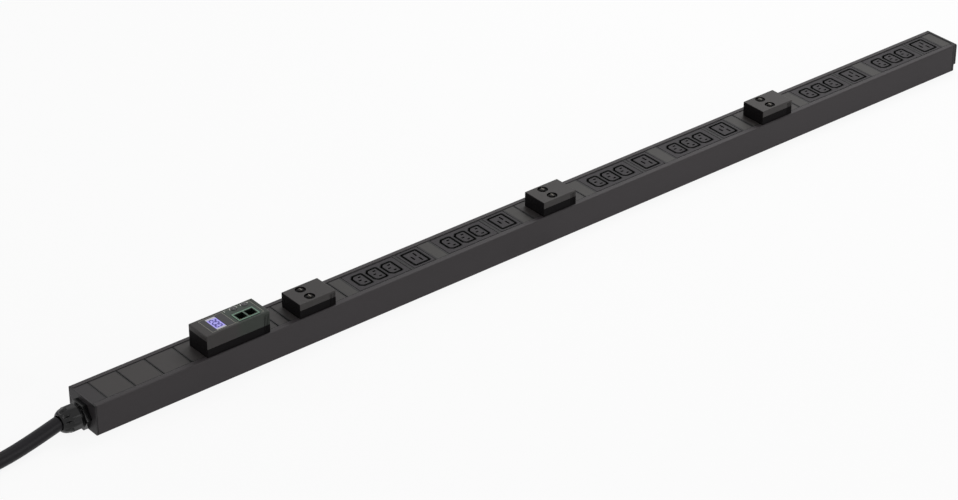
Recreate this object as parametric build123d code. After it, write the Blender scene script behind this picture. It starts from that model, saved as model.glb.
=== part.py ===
from build123d import *
import math
import os

# A vertical rack power distribution unit, lying on its back.
# Millimetres. X runs along the unit from the cable end to the far end, Y across it, and Z is up,
# out of the outlet face. The origin is the middle of the back face.

# Chassis: sheet steel folded to a channel that is open at the front between two lips
UNIT_WIDTH = 60.0
UNIT_DEPTH = 43.0
SHEET = 1.5
BEND_RADIUS = 1.9
LIP_WIDTH = 7.2

# Clearances
SEAM = 0.8
SEAT = 0.3
SLIP = 0.1
END_SEAM = 0.5
OVERCUT = 1.0

# Front plates: each slides in under the lips
PLATE_DROP = 0.5
PLATE_FLANGE = 1.6
PLATE_WING = 5.4

# Stations along the unit, from the cable end
END_TAB_LENGTH = 21.8
BLANK_LENGTH = 41.8
BLANK_COUNT = 3
DISPLAY_PLATE_LENGTH = 131.4
FILLER_LENGTH = 18.0
SECTION_COUNT = 3
BREAKER_PLATE_LENGTH = 90.9
OUTLET_PLATE_LENGTH = 312.3
FAR_MARGIN = 3.8

# Outlet groups: three small outlets in one moulding and one large outlet, twice in a section
GROUP_INSET = 9.45
FIRST_SMALL = 39.2
SMALL_PITCH = 24.0
SMALL_COUNT = 3
LARGE_OFFSET = 88.7
BANK_LENGTH = 82.4
BANK_WIDTH = 41.0
LARGE_LENGTH = 34.6
FLANGE_OVER = 2.4
FLANGE_THICK = 2.0
OUTLET_BODY_DEPTH = 27.0

# Small outlet: ring that takes the plug's collar, boss and three contact slots
SMALL_RING = (20.5, 29.0)
SMALL_BOSS = (15.4, 23.8)
SMALL_BEVEL = 5.2
SMALL_CORNER = 3.4
SMALL_RING_DEPTH = 17.0
SMALL_SPACING = 14.0
SMALL_EARTH_SETBACK = 4.0
SMALL_SLOT = (4.4, 2.6)

# Large outlet
LARGE_RING = (26.6, 34.2)
LARGE_BOSS = (21.4, 29.0)
LARGE_CORNER = 3.0
LARGE_RING_DEPTH = 18.0
LARGE_SPACING = 13.0
LARGE_EARTH_SETBACK = 8.0
LARGE_SLOT = (2.6, 8.4)

# Contact strips: springy leaves stand on a flat bar under the outlets
BAR_THICK = 1.2
BAR_WIDTH = 7.8
EARTH_BAR_WIDTH = 3.8
LEAF_THICK = 0.4
LEAF_LENGTH = 3.4
LEAF_RISE = 22.0
BAR_OVERRUN = 16.0

# Modules that stand on the near side of the face
MODULE_INSET = 2.5
MODULE_WIDTH = 40.0
MODULE_WALL = 2.0
NECK_INSET = 1.2
LEDGE = 1.5
PARTING_HEIGHT = 11.2
PARTING_WIDTH = 0.5
PARTING_DEPTH = 0.4

# Breaker housings, each with two thermal breakers side by side
BREAKER_OFFSET = 12.2
BREAKER_LENGTH = 57.0
BREAKER_HEIGHT = 21.0
BREAKER_EDGE = 1.2
WELL_OFFSET = 23.0
WELL_SPACING = 19.8
WELL_RADIUS = 7.0
WELL_DEPTH = 3.0
BUTTON_RADIUS = 3.7
BUTTON_PROUD = 0.4
BUTTON_TRAVEL = 3.0
BUTTON_POCKET = 2 * BUTTON_TRAVEL
BUTTON_GAP = 0.3
BREAKER_BODY = (34.0, 15.0)
TERMINAL = (6.3, 0.8, 11.0)
TERMINAL_SPREAD = 16.0
RIB_COUNT = 4
RIB_PITCH = 2.3
RIB_WIDTH = 0.9
RIB_DEPTH = 0.7
RIB_START = 2.0

# Display module
DISPLAY_OFFSET = 19.4
DISPLAY_LENGTH = 96.6
DISPLAY_HEIGHT = 31.0
DISPLAY_EDGE = 1.6
LABEL_START = 11.0
LABEL_END_MARGIN = 5.0
LABEL_NEAR_MARGIN = 2.6
LABEL_FAR_MARGIN = 3.2
LABEL_THICK = 0.5
LABEL_CORNER = 3.0
SCREEN_START = 20.8
SCREEN_SIZE = (14.6, 28.4)
SCREEN_NEAR = 6.0
SCREEN_DROP = 0.6
SCREEN_FRAME = 3.0
SCREEN_THICK = 6.0
JACK_START = 52.4
JACK_SIZE = (33.0, 19.0)
JACK_NEAR = 3.8
JACK_HEIGHT = 16.0
JACK_PROUD = 0.4
JACK_PORT = (12.2, 12.6)
JACK_DIVIDER = 2.4
JACK_DEPTH = 13.5
KEY_RADIUS = 4.4
KEY_STARTS = (64.2, 80.6)
KEY_FAR = 6.8
KEY_PROUD = 0.7
KEY_TRAVEL = 0.8
KEY_STEM_RADIUS = 1.6
KEY_CAP = 4.0
SWITCH_SIZE = (6.0, 6.0, 4.0)
BOARD_THICK = 1.6

# Cable end plate and far end cap
PLATE_FOOT = 16.0
FOOT_INNER = 12.0
CAP_SKIRT = 8.0
CAP_SETBACK = 3.6
CAP_STEP_HEIGHT = 11.0
CAP_GROOVE = 0.7
CAP_GROOVE_BACK = 2.2
CAP_TONGUE = 10.0
SCREW_RADIUS = 1.5
SCREW_HEAD_RADIUS = 2.9
SCREW_SPACING = 36.0
SCREW_BACK = 9.0

# Fixing nuts in the back, for the pegs or brackets of a rack
NUT_SETBACK = 58.0
NUT_BORE_RADIUS = 2.5
NUT_RADIUS = 5.0
NUT_HEIGHT = 7.0
NUT_HOLE_RADIUS = 3.3

# Cable gland in the cable end plate
GLAND_HEIGHT = 18.5
GLAND_THREAD_RADIUS = 14.5
GLAND_HEX_RADIUS = 17.4
GLAND_HEX_THICK = 7.0
GLAND_NECK_RADIUS = 13.6
GLAND_NECK_LENGTH = 12.0
GLAND_SHANK = 11.0
GLAND_BORE_RADIUS = 11.4
CAP_NUT_RADIUS = 17.3
CAP_NUT_LENGTH = 24.0
CAP_NUT_DOME = 9.0
CAP_NUT_START = 11.0
CAP_NUT_FLAT_COUNT = 10
LOCKNUT_THICK = 5.0
LOCKNUT_RADIUS = 16.6
SEAL_LENGTH = 14.0

# Supply cord: a tube from the gland, a coil of the put-away length, a tail and an industrial plug
CORD_RADIUS = 9.5
ARC_SHARE = 0.45
CORD_START = 36.0
CORD_ROUTE = (
    (-810.0, 0.0, 18.5),
    (-839.0, -2.0, 13.9),
    (-873.0, -8.0, 10.2),
    (-912.0, -15.0, 9.8),
    (-952.0, -18.6, 9.8),
    (-990.0, -19.3, 9.8),
)
COIL_CENTRE = (-990.0, 98.0)
COIL_MID_RADIUS = 98.0
COIL_COLUMNS = 3
COIL_TOP_COLUMNS = 2
TAIL_LENGTH = 96.0
PLUG_NECK = (13.0, 16.0)
PLUG_GRIP = (24.0, 46.0)
PLUG_SLEEVE = (28.0, 48.0)
PLUG_PIN_COUNT = 3
PLUG_PIN_RADIUS = 3.0
PLUG_PIN_CIRCLE = 11.0

# Supply wires on the chassis floor
WIRE_RADIUS = 2.4
WIRE_PITCH = 7.0

SECTION_PITCH = BREAKER_PLATE_LENGTH + OUTLET_PLATE_LENGTH
DISPLAY_PLATE_START = END_TAB_LENGTH + BLANK_COUNT * BLANK_LENGTH
FILLER_START = DISPLAY_PLATE_START + DISPLAY_PLATE_LENGTH
SECTION_START = FILLER_START + FILLER_LENGTH
UNIT_LENGTH = SECTION_START + SECTION_COUNT * SECTION_PITCH + FAR_MARGIN
GROUP_PITCH = OUTLET_PLATE_LENGTH / 2 - GROUP_INSET
CABLE_END = -UNIT_LENGTH / 2
HALF_WIDTH = UNIT_WIDTH / 2
LIP_EDGE = HALF_WIDTH - LIP_WIDTH
PLATE_HALF = LIP_EDGE - SEAM
PLATE_FACE = UNIT_DEPTH - PLATE_DROP
WING_TOP = UNIT_DEPTH - SHEET - SEAT
PLATE_UNDER = WING_TOP - PLATE_FLANGE
WING_HALF = PLATE_HALF + PLATE_WING
OUTLET_BOTTOM = PLATE_FACE - OUTLET_BODY_DEPTH
BAR_TOP = OUTLET_BOTTOM - SEAT
BAR_BOTTOM = BAR_TOP - BAR_THICK
FLANGE_TOP = PLATE_UNDER - SEAT
MODULE_NEAR = -HALF_WIDTH + MODULE_INSET
MODULE_MIDDLE = MODULE_NEAR + MODULE_WIDTH / 2
NECK_NEAR = -PLATE_HALF + NECK_INSET
NECK_FAR = MODULE_NEAR + MODULE_WIDTH - MODULE_WALL


def along(station):
    """X of a point that lies this far from the cable end."""
    return CABLE_END + station


def span(x0, x1, y0, y1, z0, z1):
    """Box between two corners."""
    centre = Pos((x0 + x1) / 2, (y0 + y1) / 2, (z0 + z1) / 2)
    return centre * Box(x1 - x0, y1 - y0, z1 - z0)


def upright(x, y, z0, z1, radius):
    """Round bar along Z."""
    return Pos(x, y, (z0 + z1) / 2) * Cylinder(radius, z1 - z0)


def lengthwise(x0, x1, y, z, radius):
    """Round bar along X."""
    return Pos((x0 + x1) / 2, y, z) * Rot(0, 90, 0) * Cylinder(radius, x1 - x0)


def outlet_outline(size, corner, bevel):
    """Outline of an outlet: two round corners, and two bevels on the earth side."""
    outline = Rectangle(size[0], size[1])
    outline = fillet(outline.vertices().group_by(Axis.X)[-1], corner)
    earth_side = outline.vertices().group_by(Axis.X)[0]
    if bevel > 0:
        return chamfer(earth_side, bevel)
    return fillet(earth_side, corner)


def outlet_recess(x, ring, boss, corner, bevel, depth):
    """Groove round the boss of an outlet, open at the face."""
    wall = (ring[0] - boss[0]) / 2
    outer = extrude(outlet_outline(ring, corner, bevel), depth)
    inner = extrude(outlet_outline(boss, corner - wall / 2, max(bevel - wall / 2, 0)), depth)
    return Pos(x, 0, PLATE_FACE - depth) * (outer - inner)


def contact_places(x, spacing, earth_setback):
    """Centres of the line, neutral and earth slots of an outlet."""
    forward = earth_setback / 2
    return {
        "line": (x + forward, spacing / 2),
        "neutral": (x + forward, -spacing / 2),
        "earth": (x - forward, 0.0),
    }


def small_places(x):
    return contact_places(x, SMALL_SPACING, SMALL_EARTH_SETBACK)


def large_places(x):
    return contact_places(x, LARGE_SPACING, LARGE_EARTH_SETBACK)


def slots(places, size):
    """Contact slots, right through the body of an outlet."""
    half_x = size[0] / 2
    half_y = size[1] / 2
    return [
        span(x - half_x, x + half_x, y - half_y, y + half_y, OUTLET_BOTTOM, PLATE_FACE)
        for x, y in places.values()
    ]


def section_station(section):
    return SECTION_START + section * SECTION_PITCH


def outlet_groups():
    """First small outlet of each group, as a station from the cable end."""
    stations = []
    for section in range(SECTION_COUNT):
        first = section_station(section) + BREAKER_PLATE_LENGTH + FIRST_SMALL
        stations += [first, first + GROUP_PITCH]
    return stations


def bank_middle(group):
    return along(group) + (SMALL_COUNT - 1) * SMALL_PITCH / 2


def small_centres(group):
    return [along(group) + n * SMALL_PITCH for n in range(SMALL_COUNT)]


def large_centre(group):
    return along(group) + LARGE_OFFSET


def chassis():
    """Folded channel with two lips, and with holes for the fixings in its back."""
    x0 = along(SHEET + END_SEAM)
    x1 = along(UNIT_LENGTH - CAP_SKIRT)
    middle = UNIT_DEPTH / 2
    outside = Pos(0, middle) * RectangleRounded(UNIT_WIDTH, UNIT_DEPTH, BEND_RADIUS)
    inside_radius = max(BEND_RADIUS - SHEET, SLIP)
    clear_width = UNIT_WIDTH - 2 * SHEET
    inside = Pos(0, middle) * RectangleRounded(clear_width, UNIT_DEPTH - 2 * SHEET, inside_radius)
    mouth = Pos(0, UNIT_DEPTH) * Rectangle(2 * LIP_EDGE, 4 * SHEET)
    channel = extrude(Plane.YZ.offset(x0) * (outside - inside - mouth), x1 - x0)
    for x, y in end_screw_places():
        channel -= upright(x, y, -SHEET, 2 * SHEET, SCREW_RADIUS + SLIP)
        channel -= Pos(x, y, SHEET / 2) * Cone(SCREW_HEAD_RADIUS + SLIP, SCREW_RADIUS + SLIP, SHEET)
    for x in nut_places():
        channel -= upright(x, 0, -SHEET, 2 * SHEET, NUT_HOLE_RADIUS)
    return channel


def end_screw_places():
    """Two countersunk screws hold each end piece to the back."""
    places = []
    for x in (along(SCREW_BACK), along(UNIT_LENGTH - CAP_SKIRT - SCREW_BACK / 2)):
        places += [(x, -SCREW_SPACING / 2), (x, SCREW_SPACING / 2)]
    return places


def nut_places():
    return [along(NUT_SETBACK), along(UNIT_LENGTH - NUT_SETBACK)]


def slide_plate(x0, x1):
    """Plate that lies between the lips, with wings that slide in under them."""
    face = span(x0, x1, -PLATE_HALF, PLATE_HALF, PLATE_UNDER, PLATE_FACE)
    wings = span(x0, x1, -WING_HALF, WING_HALF, PLATE_UNDER, WING_TOP)
    return face + wings


def blank_plate(number):
    start = END_TAB_LENGTH + number * BLANK_LENGTH
    return slide_plate(along(start + SEAM), along(start + BLANK_LENGTH - SEAM / 2))


def filler_plate():
    return slide_plate(along(FILLER_START + SEAM), along(SECTION_START - SEAM / 2))


def neck_opening(x0, x1):
    """Cut-out in a plate for the neck of a module."""
    return span(x0 - SEAM, x1 + SEAM, NECK_NEAR - SEAM, NECK_FAR + SEAM, PLATE_UNDER - SHEET, UNIT_DEPTH)


def display_plate():
    plate = slide_plate(along(DISPLAY_PLATE_START + SEAM), along(FILLER_START - SEAM / 2))
    x0, x1 = display_ends()
    return plate - neck_opening(x0 + MODULE_WALL, x1 - MODULE_WALL)


def breaker_plate(section):
    start = section_station(section)
    plate = slide_plate(along(start + SEAM), along(start + BREAKER_PLATE_LENGTH - SEAM / 2))
    x0, x1 = breaker_ends(section)
    return plate - neck_opening(x0 + MODULE_WALL, x1 - MODULE_WALL)


def outlet_plate(section):
    """Plate with a cut-out for each outlet moulding of its section."""
    start = section_station(section) + BREAKER_PLATE_LENGTH
    end = start + OUTLET_PLATE_LENGTH
    plate = slide_plate(along(start + SEAM), along(end - SEAM / 2))
    for group in outlet_groups():
        if start < group < end:
            for x, length in ((bank_middle(group), BANK_LENGTH), (large_centre(group), LARGE_LENGTH)):
                half = length / 2 + SEAM
                across = BANK_WIDTH / 2 + SEAM
                plate -= span(x - half, x + half, -across, across, PLATE_UNDER - SHEET, UNIT_DEPTH)
    return plate


def outlet_body(x, length):
    """Moulding with its face in the plate, a flange behind the plate and a deep body."""
    half = length / 2
    across = BANK_WIDTH / 2
    face = span(x - half, x + half, -across, across, FLANGE_TOP - FLANGE_THICK, PLATE_FACE)
    edge = half + FLANGE_OVER
    wide = across + FLANGE_OVER
    flange = span(x - edge, x + edge, -wide, wide, FLANGE_TOP - FLANGE_THICK, FLANGE_TOP)
    body = span(x - half, x + half, -across, across, OUTLET_BOTTOM, FLANGE_TOP)
    return face + flange + body


def small_bank(group):
    bank = outlet_body(bank_middle(group), BANK_LENGTH)
    for x in small_centres(group):
        bank -= outlet_recess(x, SMALL_RING, SMALL_BOSS, SMALL_CORNER, SMALL_BEVEL, SMALL_RING_DEPTH)
        for slot in slots(small_places(x), SMALL_SLOT):
            bank -= slot
    return bank


def large_outlet(group):
    x = large_centre(group)
    outlet = outlet_body(x, LARGE_LENGTH)
    outlet -= outlet_recess(x, LARGE_RING, LARGE_BOSS, LARGE_CORNER, 0, LARGE_RING_DEPTH)
    for slot in slots(large_places(x), LARGE_SLOT):
        outlet -= slot
    return outlet


def small_leaves(place):
    """Two leaves that grip a pin from its two broad sides, in a slot along X."""
    x, y = place
    offset = SMALL_SLOT[1] / 2 - SLIP - LEAF_THICK
    half = LEAF_LENGTH / 2
    return [
        span(x - half, x + half, y + side, y + side + LEAF_THICK, BAR_TOP, BAR_TOP + LEAF_RISE)
        for side in (offset, -offset - LEAF_THICK)
    ]


def large_leaves(place, length):
    """Two leaves for a slot along Y."""
    x, y = place
    offset = LARGE_SLOT[0] / 2 - SLIP - LEAF_THICK
    half = length / 2
    return [
        span(x + side, x + side + LEAF_THICK, y - half, y + half, BAR_TOP, BAR_TOP + LEAF_RISE)
        for side in (offset, -offset - LEAF_THICK)
    ]


def contact_bar(pole, groups, x0, x1):
    """Flat bar under the outlets with the leaves of one pole standing on it."""
    width = EARTH_BAR_WIDTH if pole == "earth" else BAR_WIDTH
    middle = {"line": 1, "neutral": -1, "earth": 0}[pole] * (SMALL_SPACING + LARGE_SPACING) / 4
    bar = span(x0, x1, middle - width / 2, middle + width / 2, BAR_BOTTOM, BAR_TOP)
    leaf_width = min(LARGE_SLOT[1] - 2 * SEAT, width)
    for group in groups:
        for x in small_centres(group):
            for leaf in small_leaves(small_places(x)[pole]):
                bar += leaf
        for leaf in large_leaves(large_places(large_centre(group))[pole], leaf_width - 2 * SEAT):
            bar += leaf
    return bar


def bar_ends(first_group, last_group):
    """Ends of a bar that serves the outlets from the first group to the last."""
    x0 = small_centres(first_group)[0] - BAR_OVERRUN
    x1 = large_centre(last_group) + LARGE_LENGTH / 2
    return x0, x1


def line_bars():
    """One bar for each outlet group, because each group has its own breaker."""
    return [contact_bar("line", [group], *bar_ends(group, group)) for group in outlet_groups()]


def common_bar(pole):
    """One bar for all groups."""
    groups = outlet_groups()
    return contact_bar(pole, groups, *bar_ends(groups[0], groups[-1]))


def breaker_ends(section):
    x0 = along(section_station(section) + BREAKER_OFFSET)
    return x0, x0 + BREAKER_LENGTH


def well_places(section):
    """Centres of the two reset buttons of a housing."""
    x = breaker_ends(section)[0] + WELL_OFFSET
    return [(x, MODULE_MIDDLE - WELL_SPACING / 2), (x, MODULE_MIDDLE + WELL_SPACING / 2)]


def module_shell(x0, x1, height, edge):
    """Box on the lip, open below, with a neck that passes through the plate."""
    y0 = MODULE_NEAR
    y1 = MODULE_NEAR + MODULE_WIDTH
    top = UNIT_DEPTH + height
    outside = span(x0, x1, y0, y1, UNIT_DEPTH, top)
    uprights = outside.edges().filter_by(Axis.Z)
    outside = fillet(uprights, edge)
    outside = fillet(outside.faces().sort_by(Axis.Z)[-1].edges(), edge)
    neck_bottom = PLATE_UNDER - SHEET
    neck = span(x0 + MODULE_WALL, x1 - MODULE_WALL, NECK_NEAR, NECK_FAR, neck_bottom, UNIT_DEPTH)
    cavity = span(
        x0 + MODULE_WALL, x1 - MODULE_WALL, y0 + MODULE_WALL, y1 - MODULE_WALL,
        UNIT_DEPTH + LEDGE, top - MODULE_WALL,
    )
    throat = span(
        x0 + 2 * MODULE_WALL, x1 - 2 * MODULE_WALL, NECK_NEAR + MODULE_WALL, NECK_FAR - MODULE_WALL,
        neck_bottom, UNIT_DEPTH + LEDGE,
    )
    return outside + neck - cavity - throat


def parting_groove(x0, x1, edge):
    """Fine groove all round, where the cover of a module meets its tray."""
    y0 = MODULE_NEAR
    y1 = MODULE_NEAR + MODULE_WIDTH
    z0 = UNIT_DEPTH + PARTING_HEIGHT
    z1 = z0 + PARTING_WIDTH
    around = span(x0 - OVERCUT, x1 + OVERCUT, y0 - OVERCUT, y1 + OVERCUT, z0, z1)
    depth = PARTING_DEPTH
    core = span(x0 + depth, x1 - depth, y0 + depth, y1 - depth, z0, z1)
    return around - fillet(core.edges().filter_by(Axis.Z), edge - depth)


def side_ribs(x1, top):
    """Shallow grooves near the far end of the two long sides."""
    cuts = []
    for n in range(RIB_COUNT):
        x = x1 - RIB_START - n * RIB_PITCH
        for y in (MODULE_NEAR, MODULE_NEAR + MODULE_WIDTH):
            cuts.append(span(x - RIB_WIDTH, x, y - RIB_DEPTH, y + RIB_DEPTH, UNIT_DEPTH + SHEET, top))
    return cuts


def breaker_housing(section):
    """Raised housing with two round wells over its breakers."""
    x0, x1 = breaker_ends(section)
    top = UNIT_DEPTH + BREAKER_HEIGHT
    housing = module_shell(x0, x1, BREAKER_HEIGHT, BREAKER_EDGE)
    housing -= parting_groove(x0, x1, BREAKER_EDGE)
    for x, y in well_places(section):
        housing -= upright(x, y, top - MODULE_WALL, top, WELL_RADIUS)
    for cut in side_ribs(x1, top - 2 * BREAKER_EDGE):
        housing -= cut
    return housing


def breaker_top():
    return UNIT_DEPTH + BREAKER_HEIGHT - WELL_DEPTH


def thermal_breaker(x, y):
    """Thermal breaker on the ledge of its housing, with a pocket for the button and two blades."""
    length, width = BREAKER_BODY
    bottom = UNIT_DEPTH + LEDGE + SEAT
    body = span(x - length / 2, x + length / 2, y - width / 2, y + width / 2, bottom, breaker_top())
    body -= upright(x, y, breaker_top() - BUTTON_POCKET, breaker_top(), BUTTON_RADIUS + BUTTON_GAP)
    for side in (-1, 1):
        tx = x + side * TERMINAL_SPREAD / 2
        body += span(
            tx - TERMINAL[0] / 2, tx + TERMINAL[0] / 2, y - TERMINAL[1] / 2, y + TERMINAL[1] / 2,
            bottom - TERMINAL[2], bottom,
        )
    return body


def reset_button(x, y):
    """Button of a breaker, pushed in; it comes out when the breaker trips."""
    top = UNIT_DEPTH + BREAKER_HEIGHT + BUTTON_PROUD
    button = upright(x, y, breaker_top() - BUTTON_POCKET + BUTTON_GAP, top, BUTTON_RADIUS)
    return chamfer(button.edges().sort_by(Axis.Z)[-1], BUTTON_GAP * 2)


def display_ends():
    x0 = along(DISPLAY_PLATE_START + DISPLAY_OFFSET)
    return x0, x0 + DISPLAY_LENGTH


def display_top():
    return UNIT_DEPTH + DISPLAY_HEIGHT


def screen_box(grow, z0, z1):
    """Box over the screen, grown by a clearance all round."""
    x = display_ends()[0] + SCREEN_START
    y = MODULE_NEAR + SCREEN_NEAR
    return span(x - grow, x + SCREEN_SIZE[0] + grow, y - grow, y + SCREEN_SIZE[1] + grow, z0, z1)


def jack_corner():
    return display_ends()[0] + JACK_START, MODULE_NEAR + JACK_NEAR


def jack_box(grow, z0, z1):
    x, y = jack_corner()
    return span(x - grow, x + JACK_SIZE[0] + grow, y - grow, y + JACK_SIZE[1] + grow, z0, z1)


def key_places():
    """Centres of the two keys beside the network jack."""
    y = MODULE_NEAR + MODULE_WIDTH - KEY_FAR
    return [(display_ends()[0] + start, y) for start in KEY_STARTS]


def label_outline(grow):
    x0, x1 = display_ends()
    length = x1 - x0 - LABEL_START - LABEL_END_MARGIN
    width = MODULE_WIDTH - LABEL_NEAR_MARGIN - LABEL_FAR_MARGIN
    place = Pos(x0 + LABEL_START + length / 2, MODULE_NEAR + LABEL_NEAR_MARGIN + width / 2)
    return place * RectangleRounded(length + 2 * grow, width + 2 * grow, LABEL_CORNER)


def display_openings(grow, z0, z1):
    """Openings for the screen, the jack and the keys."""
    cuts = [screen_box(grow, z0, z1), jack_box(grow, z0, z1)]
    cuts += [upright(x, y, z0, z1, KEY_RADIUS + grow) for x, y in key_places()]
    return cuts


def display_housing():
    x0, x1 = display_ends()
    top = display_top()
    housing = module_shell(x0, x1, DISPLAY_HEIGHT, DISPLAY_EDGE)
    housing -= parting_groove(x0, x1, DISPLAY_EDGE)
    housing -= Pos(0, 0, top - LABEL_THICK) * extrude(label_outline(SLIP), LABEL_THICK + OVERCUT)
    for cut in display_openings(SEAT, top - 2 * MODULE_WALL, top + OVERCUT):
        housing -= cut
    for cut in side_ribs(x1, top - 2 * DISPLAY_EDGE):
        housing -= cut
    return housing


def display_label():
    """Thin overlay in the recess of the top."""
    top = display_top()
    label = Pos(0, 0, top - LABEL_THICK) * extrude(label_outline(0), LABEL_THICK)
    for cut in display_openings(SEAT, top - LABEL_THICK - OVERCUT, top + OVERCUT):
        label -= cut
    return label


def board_top():
    return display_top() + JACK_PROUD - JACK_HEIGHT


def screen():
    """Backlit screen: a frame under the top with the glass standing up in the window."""
    top = display_top()
    under = top - MODULE_WALL - SEAT
    frame = screen_box(SCREEN_FRAME, under - SCREEN_THICK, under)
    legs = screen_box(0, board_top(), under - SCREEN_THICK)
    glass = screen_box(0, under, top - SCREEN_DROP)
    return frame + legs + glass


def control_board():
    """Board across the module, with a switch under each key."""
    x0, x1 = display_ends()
    inset = MODULE_WALL + SEAT
    board = span(
        x0 + inset, x1 - inset, MODULE_NEAR + inset, MODULE_NEAR + MODULE_WIDTH - inset,
        board_top() - BOARD_THICK, board_top(),
    )
    half_x = SWITCH_SIZE[0] / 2
    half_y = SWITCH_SIZE[1] / 2
    switch_top = board_top() + SWITCH_SIZE[2]
    for x, y in key_places():
        board += span(x - half_x, x + half_x, y - half_y, y + half_y, board_top(), switch_top)
    return board


def port_corners():
    """Near corners of the two ports of the jack, and their size."""
    x, y = jack_corner()
    rim_x = (JACK_SIZE[0] - 2 * JACK_PORT[0] - JACK_DIVIDER) / 2
    rim_y = (JACK_SIZE[1] - JACK_PORT[1]) / 2
    return [(x + rim_x + n * (JACK_PORT[0] + JACK_DIVIDER), y + rim_y) for n in range(2)]


def network_jack():
    """Double jack that stands on the board and shows in the top."""
    top = display_top() + JACK_PROUD
    jack = jack_box(0, board_top(), top)
    for x, y in port_corners():
        jack -= span(x, x + JACK_PORT[0], y, y + JACK_PORT[1], top - JACK_DEPTH, top + OVERCUT)
    return jack


def key(x, y):
    """Key with a stem that reaches down to its switch."""
    top = display_top() + KEY_PROUD
    switch_top = board_top() + SWITCH_SIZE[2]
    cap = upright(x, y, top - KEY_CAP, top, KEY_RADIUS)
    cap = fillet(cap.edges().sort_by(Axis.Z)[-1], KEY_PROUD)
    stem = upright(x, y, switch_top + KEY_TRAVEL + SEAT, top - KEY_CAP, KEY_STEM_RADIUS)
    return cap + stem


def cable_end_plate():
    """Folded plate: the end wall, a tab between the lips and a foot on the back."""
    x0 = along(0)
    outline = Pos(0, UNIT_DEPTH / 2) * RectangleRounded(UNIT_WIDTH, UNIT_DEPTH, BEND_RADIUS)
    wall = extrude(Plane.YZ.offset(x0) * outline, SHEET - SLIP)
    tab = span(x0 + SLIP, along(END_TAB_LENGTH), -PLATE_HALF, PLATE_HALF, PLATE_FACE - SHEET, PLATE_FACE)
    plate = wall + tab
    for side in (-1, 1):
        inner = side * FOOT_INNER
        outer = side * (HALF_WIDTH - 2 * SHEET)
        plate += span(
            x0 + SLIP, along(PLATE_FOOT), min(inner, outer), max(inner, outer),
            SHEET + SLIP, 2 * SHEET + SLIP,
        )
    plate -= lengthwise(x0 - OVERCUT, x0 + 2 * SHEET, 0, GLAND_HEIGHT, GLAND_THREAD_RADIUS + SLIP)
    for x, y in end_screw_places()[:2]:
        plate -= upright(x, y, 0, 4 * SHEET, SCREW_RADIUS + SLIP)
    return plate


def far_end_cap():
    """Moulded cap: a skirt in line with the chassis, a stepped end and a tongue inside."""
    x1 = along(UNIT_LENGTH)
    x0 = x1 - CAP_SKIRT
    outline = Pos(0, UNIT_DEPTH / 2) * RectangleRounded(UNIT_WIDTH, UNIT_DEPTH, BEND_RADIUS)
    cap = extrude(Plane.YZ.offset(x0 + END_SEAM) * outline, CAP_SKIRT - END_SEAM)
    cap -= span(
        x0, x1 - CAP_SETBACK - SHEET, -HALF_WIDTH + SHEET, HALF_WIDTH - SHEET, SHEET, UNIT_DEPTH - SHEET
    )
    plate_end = along(UNIT_LENGTH - FAR_MARGIN)
    cap -= span(x0, plate_end, -LIP_EDGE, LIP_EDGE, PLATE_UNDER - SEAT, UNIT_DEPTH + SHEET)
    wing_room = WING_HALF + SEAT
    cap -= span(x0, plate_end, -wing_room, wing_room, PLATE_UNDER - SEAT, UNIT_DEPTH - SHEET)
    cap -= span(x1 - CAP_SETBACK, x1 + OVERCUT, -HALF_WIDTH, HALF_WIDTH, -OVERCUT, CAP_STEP_HEIGHT)
    groove_end = x1 - CAP_GROOVE_BACK
    rim = Plane.YZ.offset(groove_end - CAP_GROOVE) * outline
    core = Plane.YZ.offset(groove_end - CAP_GROOVE) * Pos(0, UNIT_DEPTH / 2) * RectangleRounded(
        UNIT_WIDTH - 2 * CAP_GROOVE, UNIT_DEPTH - 2 * CAP_GROOVE, BEND_RADIUS
    )
    cap -= extrude(rim - core, CAP_GROOVE)
    tongue_half = HALF_WIDTH - 2 * SHEET
    tongue = span(
        x0 - CAP_TONGUE, x1 - CAP_SETBACK - SHEET / 2, -tongue_half, tongue_half,
        SHEET + SLIP, 3 * SHEET + SLIP,
    )
    cap += tongue
    for x, y in end_screw_places()[2:]:
        cap -= upright(x, y, 0, 5 * SHEET, SCREW_RADIUS + SLIP)
    return cap


def end_screws():
    """Countersunk screws in the back, two at each end."""
    screws = []
    for x, y in end_screw_places():
        head = Pos(x, y, SHEET / 2) * Cone(SCREW_HEAD_RADIUS, SCREW_RADIUS, SHEET)
        screws.append(head + upright(x, y, SHEET / 2, 4 * SHEET, SCREW_RADIUS))
    return screws


def mounting_nuts():
    """Press nuts on the inner side of the back."""
    nuts = []
    for x in nut_places():
        nut = upright(x, 0, SHEET, SHEET + NUT_HEIGHT, NUT_RADIUS)
        nuts.append(nut - upright(x, 0, 0, 2 * SHEET + NUT_HEIGHT, NUT_BORE_RADIUS))
    return nuts


def polygon_bar(x0, x1, radius, sides):
    """Bar with flats, along X on the axis of the gland."""
    outline = Pos(0, GLAND_HEIGHT) * RegularPolygon(radius, sides, major_radius=False)
    return extrude(Plane.YZ.offset(x0) * outline, x1 - x0)


def gland_axis(x0, x1, radius):
    return lengthwise(x0, x1, 0, GLAND_HEIGHT, radius)


def gland_body():
    """Threaded shank through the end plate, a hexagon outside it and the neck under the cap nut."""
    x0 = along(0)
    hex_start = x0 - SLIP - GLAND_HEX_THICK
    body = polygon_bar(hex_start, x0 - SLIP, GLAND_HEX_RADIUS, 6)
    body += gland_axis(hex_start, x0 + GLAND_SHANK, GLAND_THREAD_RADIUS)
    body += gland_axis(hex_start - GLAND_NECK_LENGTH, hex_start, GLAND_NECK_RADIUS)
    bore_start = hex_start - GLAND_NECK_LENGTH - OVERCUT
    return body - gland_axis(bore_start, x0 + GLAND_SHANK + OVERCUT, GLAND_BORE_RADIUS)


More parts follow.
